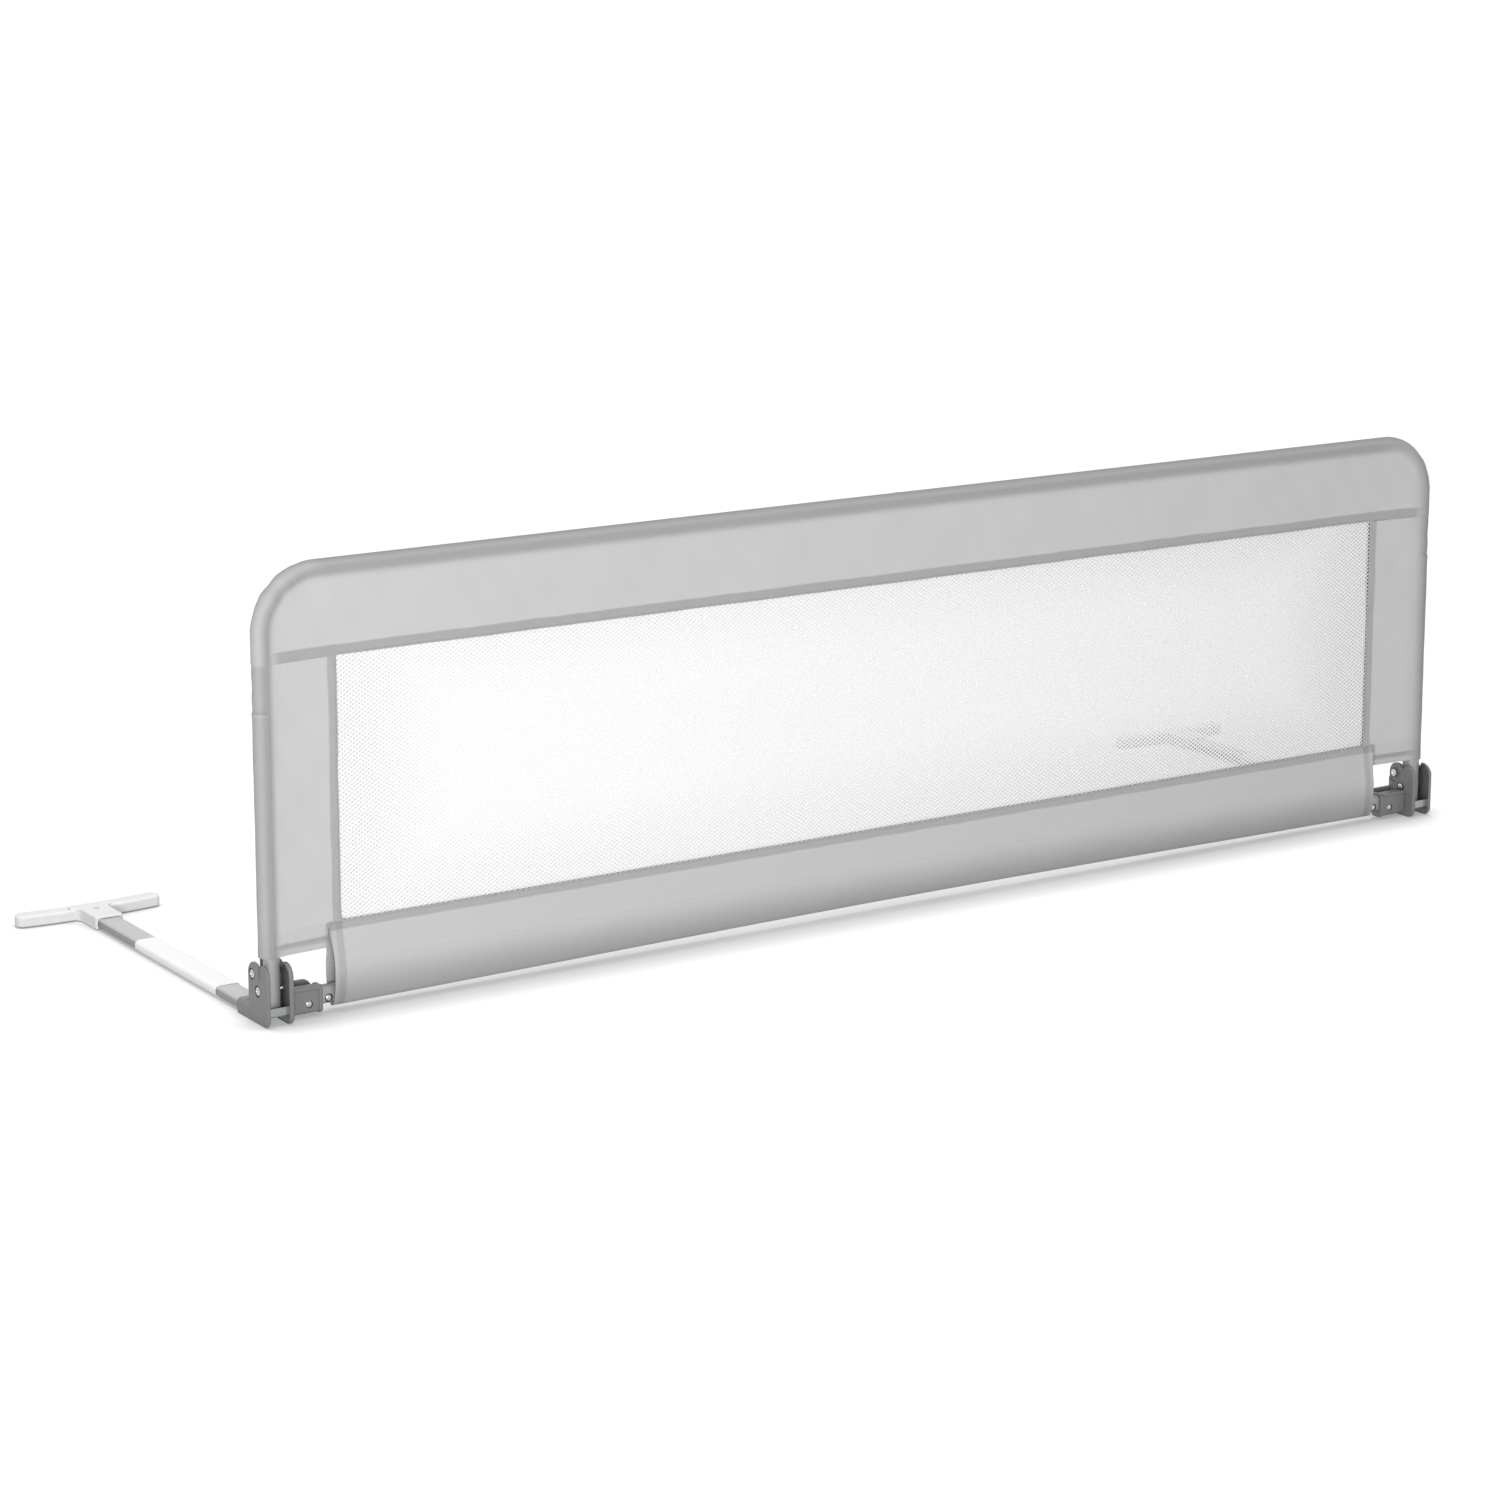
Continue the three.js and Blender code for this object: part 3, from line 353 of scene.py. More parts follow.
def cloth_ripple(x, z):
    """Slow waves of a stretched cloth: a sum of four sines whose lengths have no common measure."""
    return waves(x, z, RIPPLES)


def pucker(along, away):
    """Small gathers across a sewn line, which fade out 7 mm away from it."""
    return 0.00017 * (np.sin(along * 640) + 0.6 * np.sin(along * 1130 + 1)) * np.exp(-np.abs(away) / 0.007)


def tube_distance(x, z):
    """How far a place lies inwards from the centre line of the bent tube."""
    past_x = np.abs(x) - BEND_X
    past_z = z - BEND_Z
    turning = (past_x > 0) & (past_z > 0)
    return BEND_RADIUS - np.where(turning, np.hypot(past_x, past_z), np.maximum(past_x, past_z))


def corner_folds(x, z):
    """Soft folds that the cloth makes round each bend: waves along the turn, deeper at the left bend."""
    turn = np.arctan2(np.maximum(z - BEND_Z, 0), np.maximum(np.abs(x) - BEND_X, 1e-6))
    strength = np.maximum(np.sin(turn * 2), 0) ** 1.2 * (np.abs(x) > BEND_X) * np.where(x < 0, 1, 0.45)
    return strength * (0.0008 * np.sin(turn * 13 + 0.6) + 0.0004 * np.sin(turn * 23 + np.sign(x)))


def cover_depth(x, z):
    """Half the cover's depth inside the frame: a tent that falls from the tube to the window's seam,
    steeply at first, with ripples, gathers, and a small step where allowances and hems lie behind."""
    inwards = np.maximum(tube_distance(x, z), 0)
    to_seam = np.hypot(np.maximum(np.abs(x) - WINDOW_X, 0), np.maximum(z - WINDOW_TOP, 0))
    share = inwards / (inwards + to_seam + 1e-9)
    tent = SEAM_HALF + TENT_FOOT * (1 - share) ** 1.15 + TENT_BROW * np.exp(-inwards / TENT_FADE)
    tent = tent + corner_folds(x, z) * np.exp(-inwards / 0.008)
    over = (z > WINDOW_TOP - 0.0002) & (z < WINDOW_TOP + STRIP_WIDTH)
    beside = (z < WINDOW_TOP) & (z > WINDOW_LOW) & (np.abs(x) < WINDOW_X + STRIP_WIDTH * 0.9)
    doubled = over | beside | (z < HEM_LOW + HEM_WIDTH)
    gathers = pucker(x, z - WINDOW_TOP) + pucker(x * 0.7, z - HEM_LOW - HEM_WIDTH)
    gathers = gathers + np.where(z < WINDOW_TOP, pucker(z, np.abs(x) - WINDOW_X), 0)
    return tent + np.clip(inwards / 0.012, 0, 1) * (cloth_ripple(x, z) + STITCHED_RELIEF * doubled + gathers)


def both_halves(x, y, z):
    """Front and back of the cover as one grid, from the front's inner edge round the tube to the back's."""
    front = np.stack([x, RAIL_Y - y, z], -1)
    back = np.stack([x, RAIL_Y + y, z], -1)
    return np.concatenate([front[:, ::-1], back[:, 1:]], 1)


def chained(*parts):
    """Arrays one after another."""
    return np.concatenate(parts)


def top_path():
    """Centre line of the frame's top: up one side, round a bend, along the top and down again.

    Gives each station's place and its direction inwards, and how far the cloth's lower edge has come."""
    rise = np.linspace(WINDOW_TOP, BEND_Z, 14)
    turn = np.linspace(0, math.pi / 2, 41)[1:]
    run = np.linspace(-BEND_X, BEND_X, 301)[1:-1]
    x = chained(np.full(len(rise), -TUBE_X), -BEND_X - BEND_RADIUS * np.cos(turn))
    z = chained(rise, BEND_Z + BEND_RADIUS * np.sin(turn))
    inward_x = chained(np.ones(len(rise)), np.cos(turn))
    inward_z = chained(np.zeros(len(rise)), -np.sin(turn))
    length = chained([0], np.cumsum(np.hypot(np.diff(x), np.diff(z))))
    foot = -TUBE_X + length / length[-1] * BEND_RADIUS
    return [
        chained(part, middle, mirror * part[::-1])[:, None]
        for part, middle, mirror in (
            (x, run, -1),
            (z, np.full(len(run), TUBE_TOP), 1),
            (inward_x, np.zeros(len(run)), -1),
            (inward_z, -np.ones(len(run)), 1),
            (foot, run, -1),
        )
    ]


def top_band_points():
    """The band: a sleeve carried along the tube, then lines down to the window's edge."""
    x, z, inward_x, inward_z, foot = top_path()
    joiner_ring = 0.0005 * np.exp(-((x / 0.002) ** 2))
    growth = 1 + (corner_folds(x, z) + joiner_ring) / SLEEVE_RADIUS
    reach = SLEEVE_STEPS * (1 + (growth - 1) * 0.5)
    share = chained(np.linspace(0, 0.22, 26)[1:], np.linspace(0.22, 1, 30)[1:])
    flat_x = x + (foot - x) * share
    flat_z = z + (WINDOW_TOP - z) * share
    return both_halves(
        np.concatenate([x + inward_x * reach, flat_x], 1),
        np.concatenate([SLEEVE_DEPTHS * growth, cover_depth(flat_x, flat_z)], 1),
        np.concatenate([z + inward_z * reach, flat_z], 1),
    )


CLOTH_GREY = (0.595, 0.595, 0.6)
THREAD_PITCH = 0.0009
ALLOWANCE_DARKER = 0.28
SLEEVE_DARKER = 0.16
VALLEY_PAINTED_SHADE = 0.24
UPRIGHT_DARKER = 0.05
FAR_END_PAINTED_SHADE = 0.2
LEFT_BEND_PAINTED_HIGHLIGHT = 0.12
LINE_PAINTED_LIGHT = 0.13
HEM_DARKER = 0.17
END_HEM_DARKER = 0.14
LOW_END_PAINTED_SHADE = 0.31


def allowance_tone(x, z, sway, mottle):
    """Darker strips where the seam allowances lie behind the cloth: over, beside and under the window."""
    across = x.size()
    above = (1 - (z + sway - WINDOW_TOP - STRIP_WIDTH).step(-0.0012, 0.0009)) * (z > WINDOW_TOP - 0.0002)
    above = above * (1 - (across - TUBE_X + 0.008).step(-0.009, 0.006)) * 1.1
    beside = 1 - (across + sway - WINDOW_X - STRIP_WIDTH * 0.9).step(-0.0014, 0.0012)
    beside = beside * (z < WINDOW_TOP) * (z > WINDOW_LOW)
    under = (z + sway - WINDOW_LOW + STRIP_WIDTH * 0.8).step(-0.0012, 0.0008)
    under = under * (z < WINDOW_LOW + 0.0004) * (across < BAND_END_X) * 0.9
    return 1 - above.larger(beside).larger(under) * mottle * ALLOWANCE_DARKER


def sleeve_tone_and_painted_light(x, z, inwards, patches):
    """The sleeve is darker over the tube, with painted shade deepest in the valley along it and at the far end of
    the rail.
    Painted highlights lighten it on the left bend and at two lines, the top band's seam and the joint of the tube's
    halves."""
    sleeve = (1 - inwards.step(-0.001, 0.011)) * SLEEVE_DARKER
    # Painted shade in the valley along the tube.
    valley = inwards.within((-0.0085, -0.0025), (-0.0005, 0.0085)) * (1 - (x - WINDOW_X).step(0.0, 0.03) * 0.45)
    upright = (1 - inwards.step(-0.002, 0.003)) * (z < WINDOW_TOP)
    # Painted shade on the sleeve at the far end, turned away from the lamp.
    far_end_shade = (x - TUBE_X).step(-0.025, 0.007) * FAR_END_PAINTED_SHADE
    # Painted highlight on the outer side of the left bend, facing the lamp.
    left_bend_highlight = (-BEND_X - x).step(-0.012, 0.012) * (z > WINDOW_TOP) * (1 - inwards.step(-0.0045, -0.0005))
    # Painted highlights on the seam and joint ridges, and painted shade just above the joint.
    lines = z.near(WINDOW_TOP - 0.0008, 0.0002, 0.0011) + z.near(TUBE_JOINT, 0.0004, 0.0016)
    lines = (lines - z.near(TUBE_JOINT + 0.003, 0.0006, 0.003) * 0.8) * upright
    tone = (1 - sleeve) * (1 - valley * VALLEY_PAINTED_SHADE * patches) * (1 - upright * UPRIGHT_DARKER)
    return tone * (1 - far_end_shade) * (1 + left_bend_highlight * LEFT_BEND_PAINTED_HIGHLIGHT) * (1 + lines * LINE_PAINTED_LIGHT)


def hem_tone_and_low_shade(x, z, sway, inwards):
    """Darker hems, where layers are turned in: below on the side bands, and in two stripes at each end of the
    bottom band. Painted shade darkens the cloth below the window a little, and that band more towards the floor."""
    across = x.size()
    over_hem = z + sway * 0.5 - HEM_LOW
    turned_in = (0.0112, 0.0130)
    hem = over_hem.within((0.0050, 0.0066), turned_in) * inwards.step(0.004, 0.01) * HEM_DARKER
    hem = (hem + (1 - over_hem.step(*turned_in)) * 0.05) * (across > BAND_END_X)
    from_end = BAND_END_X - 0.0025 - across + sway * 0.5
    end_hem = (1 - from_end.step(0.0118, 0.0140)) * (z < WINDOW_LOW - 0.001) * (from_end > -0.006)
    stripes = from_end.step(0.0035, 0.0060) + (1 - from_end.step(-0.0005, 0.0012))
    end_hem = end_hem * (0.06 + stripes * END_HEM_DARKER)
    # Painted shade: darker towards the floor, and a little all over below the window.
    low_end_shade = (0.048 - z).step(-0.006, 0.034) * LOW_END_PAINTED_SHADE + (WINDOW_LOW - z).step(-0.001, 0.001) * 0.04
    return (1 - hem) * (1 - end_hem) * (1 - low_end_shade)


def cloth_material():
    """Plain weave in grey: two sets of fine threads, seen as a faint relief and a change of tone.

    It is thin, so what lies behind it shows as a darker tone. Painted shade and highlights are added along the
    sleeves, and painted shade towards the floor."""
    made, shader, place = material(
        "cover_cloth", CLOTH_GREY, 0.88, Sheen_Weight=0.15, Sheen_Roughness=0.5, Specular_IOR_Level=0.2
    )
    x, _, z = place.parts()
    thread = 2 * math.pi / THREAD_PITCH
    weave = (x * thread).sine() * (z * thread).sine()
    slubs = place.noise(260.0, 2.0, (1, 1, 6))
    sway = (place.noise(22.0) - 0.5) * 0.0024
    past_x = (x.size() - BEND_X).larger(0.0)
    past_z = (z - BEND_Z).larger(0.0)
    inwards = BEND_RADIUS - (past_x * past_x + past_z * past_z) ** 0.5
    tone = allowance_tone(x, z, sway, 0.9 + place.noise(95.0, 3.0) * 0.2)
    tone = tone * sleeve_tone_and_painted_light(x, z, inwards, 0.93 + place.noise(14.0, 3.0) * 0.14)
    tone = tone * hem_tone_and_low_shade(x, z, sway, inwards) * (0.98 + place.noise(7.0, 3.0) * 0.04)
    tone = tone * (1 + weave * 0.035) * (0.97 + slubs * 0.06)
    feed(shader, Base_Color=tone.tint(CLOTH_GREY), Normal=(weave * 0.5 + slubs * 0.7).bump(0.3, 0.0002))
    return made


cover_cloth = cloth_material()
mesh = tidied(joined_grid("top_band_cloth", top_band_points()))
top_band = placed("top_band_cloth", mesh, cover_cloth, "guard", ["top_band"])
thickened(top_band, CLOTH)


# Side bands of the cover
# The same cloth at each end, a sleeve round the upright with a flat band to the window, sewn to the top
# band above and turned under in a double-stitched hem below.
WINDOW_CORNER = 0.0045
JOINT_RING = 0.0009
JOINT_RING_HALF = 0.0014
JOINT_STEP = 0.0004
SLEEVE_HEM_RELIEF = 0.0002


def side_band_points():
    """The left band: the sleeve's section carried up the tube, then lines to the window's edge.

    That edge has a small round corner at its lower end."""
    z = chained(
        np.linspace(HEM_LOW, HEM_LOW + HEM_WIDTH, 7),
        np.linspace(HEM_LOW + HEM_WIDTH + 0.0006, WINDOW_LOW - 0.0006, 9),
        np.linspace(WINDOW_LOW, WINDOW_LOW + WINDOW_CORNER, 10)[:-1],
        np.linspace(WINDOW_LOW + WINDOW_CORNER, WINDOW_TOP - 0.0001, 146),
    )[:, None]
    from_joint = z - TUBE_JOINT
    ring = JOINT_RING * np.exp(-((from_joint / JOINT_RING_HALF) ** 2))
    ring = ring - JOINT_STEP / (1 + np.exp(from_joint / -0.0008))
    ring = ring + 0.00015 * np.sin(z * 90) * np.sin(z * 41) + 0.0002 * np.sin(z * 260) * (z > TUBE_JOINT)
    ring = ring + SLEEVE_HEM_RELIEF * (z < HEM_LOW + HEM_WIDTH)
    growth = 1 + ring / SLEEVE_RADIUS
    share = chained(np.linspace(0, 0.24, 24)[1:], np.linspace(0.24, 1, 24)[1:])
    rise = np.clip((z - WINDOW_LOW) / WINDOW_CORNER, 0, 1)
    rounding = WINDOW_CORNER * (1 - np.sqrt(1 - (1 - rise) ** 2))
    edge = np.where(z < WINDOW_LOW - 0.0003, -BAND_END_X, -WINDOW_X + rounding)
    flat_x = -TUBE_X + (edge + TUBE_X) * share
    fade = np.exp(-(flat_x + TUBE_X) / 0.004)
    x = np.concatenate([-TUBE_X + SLEEVE_STEPS * growth, flat_x], 1)
    y = np.concatenate([SLEEVE_DEPTHS * growth, cover_depth(flat_x, z + 0 * flat_x) * (1 + (growth - 1) * fade)], 1)
    return both_halves(x, y, z + 0 * x)


for side in ("left", "right"):
    mesh = tidied(joined_grid(f"{side}_side_band_cloth", side_band_points()), mirror=side == "right")
    band = placed(f"{side}_side_band_cloth", mesh, cover_cloth, "guard", [f"{side}_side_band"])
    thickened(band, CLOTH)


# Bottom band of the cover
# One cloth sewn to the net's lower edge in front, round the crossbar and up again behind. It hangs free of
# the bar, open at both ends, where its edges are hemmed. It is cut here where it bends as the guard folds.
LOOP_HALF = 0.0088
LOOP_SEAM = 0.0019
LOOP_CENTRE = 0.045
LOOP_FOOT = loop_low.z - 0.0009
LOOP_SPLIT = 0.050
LOOP_ROUND = 2.5
LOOP_BOW = 0.0046
LOOP_SPAN = 0.72
END_HEM = 0.0135
ENDS_DRAWN_IN = 0.003
CORNER_OUT = 0.0042
CORNER_FORWARD = 0.0018
CORNER_HEIGHT = 0.034
END_REACH = 0.06
BAND_TOP = WINDOW_LOW


def loop_half(z):
    """Half width of the band's section above its widest place: it opens evenly and then grows upright."""
    share = np.clip((BAND_TOP - z) / (BAND_TOP - LOOP_CENTRE), 0, 1)
    return LOOP_SEAM + (LOOP_HALF - LOOP_SEAM) * (1.2 * share**1.2 - 0.2 * share**6)


def loop_section(part):
    """Half width and height down the front of one part. The lower one ends in a quarter of an oval whose
    powers are above 2, so it is fuller than an ellipse."""
    if part == "upper":
        z = np.linspace(BAND_TOP, LOOP_SPLIT, 24)
        return loop_half(z), z
    z = np.linspace(LOOP_SPLIT, LOOP_CENTRE, 4)
    turn = np.linspace(0, math.pi / 2, 40)[1:]
    half = chained(loop_half(z), LOOP_HALF * np.maximum(np.cos(turn), 0) ** (2 / LOOP_ROUND))
    return half, chained(z, LOOP_CENTRE - (LOOP_CENTRE - LOOP_FOOT) * np.sin(turn) ** (2 / LOOP_ROUND))


def band_run():
    """Places along the band, closer together at its hemmed ends."""
    hem = np.linspace(0, END_HEM, 9)
    inner = BAND_END_X - END_HEM - 0.0006
    return chained(-BAND_END_X + hem, np.linspace(-inner, inner, 260), (BAND_END_X - hem)[::-1])


def lower_ripple(x, z):
    """Soft waves of the loose cloth, longer along the rail than across it."""
    slow = 0.0006 * np.sin(x * 17 + 1) * np.sin(z * 33) + 0.0003 * np.sin(x * 41 - z * 60)
    return slow + 0.2 * cloth_ripple(x, z)


def bottom_band_place(x, half, z):
    """Place of the band's front for a station along it, a half width and a height.

    It bows up with the bar in the middle. Its hemmed ends draw in, but their upper corners reach out
    over the side bands."""
    bow = LOOP_BOW * (1 - (x / LOOP_SPAN) ** 2) ** 2 * np.clip((0.06 - z) / 0.03, 0, 1)
    hem = 0.5 + 0.5 * np.tanh((np.abs(x) - BAND_END_X + END_HEM) / 0.0006)
    corner = (1 - np.clip((BAND_TOP - z) / CORNER_HEIGHT, 0, 1)) ** 1.3
    near_end = np.clip((np.abs(x) - BAND_END_X + END_REACH) / END_REACH, 0, 1) ** 2
    drawn = (CORNER_OUT * corner - ENDS_DRAWN_IN) * near_end * np.sign(x)
    loose = np.clip(half / LOOP_HALF, 0, 1)
    y = half + (lower_ripple(x, z) + STITCHED_RELIEF * hem) * loose + pucker(x, BAND_TOP - z)
    return x + drawn, y + CORNER_FORWARD * corner * near_end**4, z + bow


for part, bodies, span, width in (
    ("upper", ("guard", "pivot_bushes"), (BAND_TOP - 0.012, LOOP_SPLIT + 0.002), 0.083),
    ("lower", ("pivot_bushes", "base"), (LOOP_SPLIT - 0.001, 0.026), 0.107),
):
    half, z = loop_section(part)
    run = band_run()[:, None]
    x, y, z = np.broadcast_arrays(*bottom_band_place(run, half + 0 * run, z + 0 * run))
    if part == "upper":
        shape = bmesh.new()
        shape.from_mesh(joined_grid("front", np.stack([x, RAIL_Y - y, z], -1)))
        shape.from_mesh(joined_grid("back", np.stack([x, RAIL_Y + y, z], -1)[:, ::-1]))
        mesh = bpy.data.meshes.new("bottom_band_upper")
        shape.to_mesh(mesh)
        shape.free()
    else:
        mesh = joined_grid("bottom_band_lower", both_halves(x[:, ::-1], y[:, ::-1], z[:, ::-1])[:, ::-1])
    stands_for = "bottom_band" if part == "upper" else "crossbar_loop"
    piece = placed(f"bottom_band_{part}", mesh, cover_cloth, None, [stands_for])
    thickened(piece, CLOTH)
    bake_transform(piece)


# Stitches
# Grey thread along the window's edges and in the two rows of each side band's hem, in front and behind.
# Each stitch is a small spindle that dips into the cloth at both ends.
STITCH_PITCH = 0.0032
STITCH_RADIUS = 0.00031
STITCH_SHARES = np.array([-0.39, -0.2, 0.2, 0.39]) * STITCH_PITCH
STITCH_SWELL = np.array([0.3, 1.0, 1.0, 0.3]) * STITCH_RADIUS
STITCH_SINK = np.array([-0.9, 0.25, 0.25, -0.9]) * STITCH_RADIUS
THREAD_GREY = (0.3, 0.3, 0.305)
EDGE_ROW = 0.0018


def thread_material():
    """Twisted polyester thread, with its twist as fine stripes of tone."""
    made, shader, place = material("thread", THREAD_GREY, 0.6)
    x, y, z = place.parts()
    twist = ((x + y + z) * 9000.0).sine()
    feed(shader, Base_Color=(1 + twist * 0.15).tint(THREAD_GREY))
    return made


def stitch_row(start, end, depth_at):
    """Middles, direction and side of the stitches at an even pitch on a line in X and Z."""
    start, end = np.array(start), np.array(end)
    length = np.hypot(*(end - start))
    along = (end - start) / length
    middles = start + along * np.arange(STITCH_PITCH / 2, length, STITCH_PITCH)[:, None]
    depth = depth_at(middles[:, 0], middles[:, 1]) + CLOTH / 2
    return [
        (np.stack([middles[:, 0], RAIL_Y + side * depth, middles[:, 1]], 1), along, side) for side in (-1, 1)
    ]


def stitches(name, rows):
    """One mesh of spindles: rings of five points at four places along each stitch, closed at its ends."""
    turn = np.arange(5) * 2 * math.pi / 5
    ring = np.arange(5)
    lap = [[a + at, a + (at + 1) % 5, a + 5 + (at + 1) % 5, a + 5 + at] for a in (0, 5, 10) for at in ring]
    faces_of_one = [*lap, [4, 3, 2, 1, 0], [15, 16, 17, 18, 19]]
    points, faces = [], []
    for middles, along, side in rows:
        lengthwise = np.array([along[0], 0, along[1]])
        outwards = np.array([0, side, 0])
        rim = outwards * np.cos(turn)[:, None] + np.cross(lengthwise, outwards) * np.sin(turn)[:, None]
        rings = lengthwise * STITCH_SHARES[:, None] + outwards * STITCH_SINK[:, None]
        one = (rings[:, None] + rim * STITCH_SWELL[:, None, None]).reshape(-1, 3)
        for middle in middles:
            start = len(points) * 20
            points.append(middle + one)
            faces += [[start + corner for corner in face] for face in faces_of_one]
    mesh = tidied(surface(name, chained(*points), faces), 1e-7)
    left_unlit.objects.link(placed(name, mesh, thread_finish, "guard", []))


def loop_surface(x, z):
    """Depth of the bottom band's front at a place."""
    return bottom_band_place(x, loop_half(z), z)[1]


thread_finish = thread_material()
above_window = WINDOW_TOP + EDGE_ROW
under_window = BAND_TOP - EDGE_ROW
rows = stitch_row((-WINDOW_X, above_window), (WINDOW_X, above_window), cover_depth)
rows += stitch_row((0.002 - BAND_END_X, under_window), (BAND_END_X - 0.002, under_window), loop_surface)
for side in (-1, 1):
    edge = side * (WINDOW_X + EDGE_ROW)
    rows += stitch_row((edge, WINDOW_LOW), (edge, WINDOW_TOP - 0.002), cover_depth)
    for height in (0.0084, 0.0102):
        ends = [(side * reach, HEM_LOW + height) for reach in (BAND_END_X, TUBE_X - 0.001)]
        rows += stitch_row(*ends, cover_depth)
stitches("cover_stitches", rows)


# Net of the window
# A white knitted net with small staggered holes, sewn in between the front and the back of the bands.
HOLE_PITCH_X = 0.0065
HOLE_PITCH_Z = 0.0043
NET_TUCK = 0.006
NET_WHITE = (0.97, 0.97, 0.975)


def net_material():
    """Two sets of holes, half a pitch apart each way and a little longer one way across, in a bright knit.

    The holes are partly clear and get painted shade, most near the window's edges and towards the right end, where
    the whole knit has a little painted shade too."""
    made, shader, place = material("net_knit", NET_WHITE, 0.8, Specular_IOR_Level=0.2)
    x, _, z = place.parts()
    along, up = x * (2 * math.pi / HOLE_PITCH_X), z * (2 * math.pi / HOLE_PITCH_Z)
    rising, falling = (along - up + math.pi / 2).sine(), (along + up + math.pi / 2).sine()
    lattice = rising * 0.63 + falling * 0.37
    hole = lattice.step(0.15, 0.5)
    edge = (x.size() - 0.5).step(0.0, 0.16).larger((z - 0.235).size().step(0.04, 0.14) * 0.8)
    # Painted shade in the holes and over the knit, deeper at the window's edges and towards the right end.
    rightward_shade = x.step(-0.3, 0.66)
    tone = (1 - rightward_shade * 0.05) * (1 - hole * (0.06 + rightward_shade * 0.14 + edge * (0.44 + rightward_shade * 0.34)))
    feed(shader, Base_Color=tone.tint(NET_WHITE), Alpha=1 - hole * 0.45, Normal=(1 - hole).bump(0.5, 0.0004))
    return made


def net_points():
    """A sheet in the frame's middle plane that gives way a little towards the bed."""
    x = np.linspace(-WINDOW_X - NET_TUCK, WINDOW_X + NET_TUCK, 180)[:, None]
    z = np.linspace(WINDOW_LOW - NET_TUCK, WINDOW_TOP + NET_TUCK, 50)[None, :]
    inside = np.clip(np.minimum(WINDOW_X - np.abs(x), np.minimum(WINDOW_TOP - z, z - WINDOW_LOW)) / 0.04, 0, 1)
    y = RAIL_Y + inside * (0.0012 * np.sin(x * 9 + 1) + 0.0006 * np.sin(z * 40 + x * 13))
    return np.stack([x + 0 * z, y, z + 0 * x], -1)


mesh = joined_grid("window_net_knit", net_points())
net = placed("window_net_knit", mesh, net_material(), "guard", ["window_net"])
left_unlit.objects.link(net)


# Hinge housings
# Each housing is two satin grey plastic mouldings, an outer half with the leg's socket and an inner half
# with the crossbar's sleeve and a flange behind. Sizes here are in millimetres from the left hinge's front.
HINGE_FRONT = cad_low.y
HALF_LENGTH = -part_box("left_outer_cover")[0].x
TUBE_AT = ((HALF_LENGTH - TUBE_X) * 1000, (RAIL_Y - HINGE_FRONT) * 1000)
PLATE_DEPTH = 42.0
PLATE_HEIGHT = 60.5
OUTER_PLATE = 3.6
INNER_FACE = 24.0
INNER_PLATE = 28.8
PLATE_ROUND = 1.2
RIM = 1.5
POCKET = 1.4
BOSS = 12.3
BOSS_AT = (PLATE_DEPTH - BOSS, PLATE_HEIGHT - BOSS)
BROW = 13.0
BROW_LEAN = 1.5
BROW_LEANS_FROM = 44
TOE = 9.0
HEEL = 4.5
NOTCH_FRONT = 17.6
NOTCH_DEPTH = 4.8
NOTCH_ROUND = 1.4
HUMP = 2.2
STOP_AT = (33.3, 48.0)
PIVOT_AT = (TUBE_AT[1], 33.0)
PIVOT_BORE = 3.3
STOP_BORE = 2.3
SEAT = 5.8
INNER_STOP_SEAT = 5.1
SEAT_DEPTH = 1.8
GROOVE_DEPTH = 1.6
GROOVE_INSIDE = 5.9
LEG_AT = (15.5, 6.65)
LEG_SIZE = (26.0, 10.3, 4.2)
SOCKET = (31.0, 14.2, 4.5)
SOCKET_RUN = (42.4, 59.5)
COLLAR = (31.8, 15.0, 4.9)
COLLAR_RUN = (58, 69)
SOCKET_EDGE = 0.8
SOCKET_BORE_RUN = (45, 75)
ARM_END = 66.8
SLEEVE_LOW = 3.8
SLEEVE_TOP = 29.8
SLEEVE_HALF = 7.8
SLEEVE_ROUND = 4
SLEEVE_LENGTH = 33.5
SLEEVE_FLANGE = 1
SLEEVE_FLANGE_RUN = (33, 37)
SLEEVE_BORE_RUN = (2.5, 45)
SLEEVE_RIDGE = (8.8, 3.4, 1.0)
SLEEVE_SCREW_AT = (51.4, 13.2)
SLEEVE_SCREW_SEAT = 3.7
SCREW_SEAT_DEPTH = 1.6
SLEEVE_SCREW_BORE = 1.8
TAB_THICK = 2.6
TAB_SILL = 2.5
TAB_LENGTH = 37.5
TAB_ROUND = 9.5
TAB_TOP = 31
BAR_SIZE = (10.0, 19.5, 4.99)
BAR_Z = 19.0
FIT = 0.3
PAST = 5.0


def arc(centre, radius, start, end, count=12):
    """Points on a circle between two angles in degrees."""
    turn = np.radians(np.linspace(start, end, count))
    return np.stack([centre[0] + radius * np.cos(turn), centre[1] + radius * np.sin(turn)], 1)


def rounded(centre, width, height, radius, grow=0.0):
    """A rectangle with round corners, drawn out by grow."""
    reach_x, reach_y = width / 2 - radius, height / 2 - radius
    corners = ((1, -1, -90), (1, 1, 0), (-1, 1, 90), (-1, -1, 180))
    return chained(
        *(
            arc((centre[0] + a * reach_x, centre[1] + b * reach_y), radius + grow, angle, angle + 90)
            for a, b, angle in corners
        )
    )


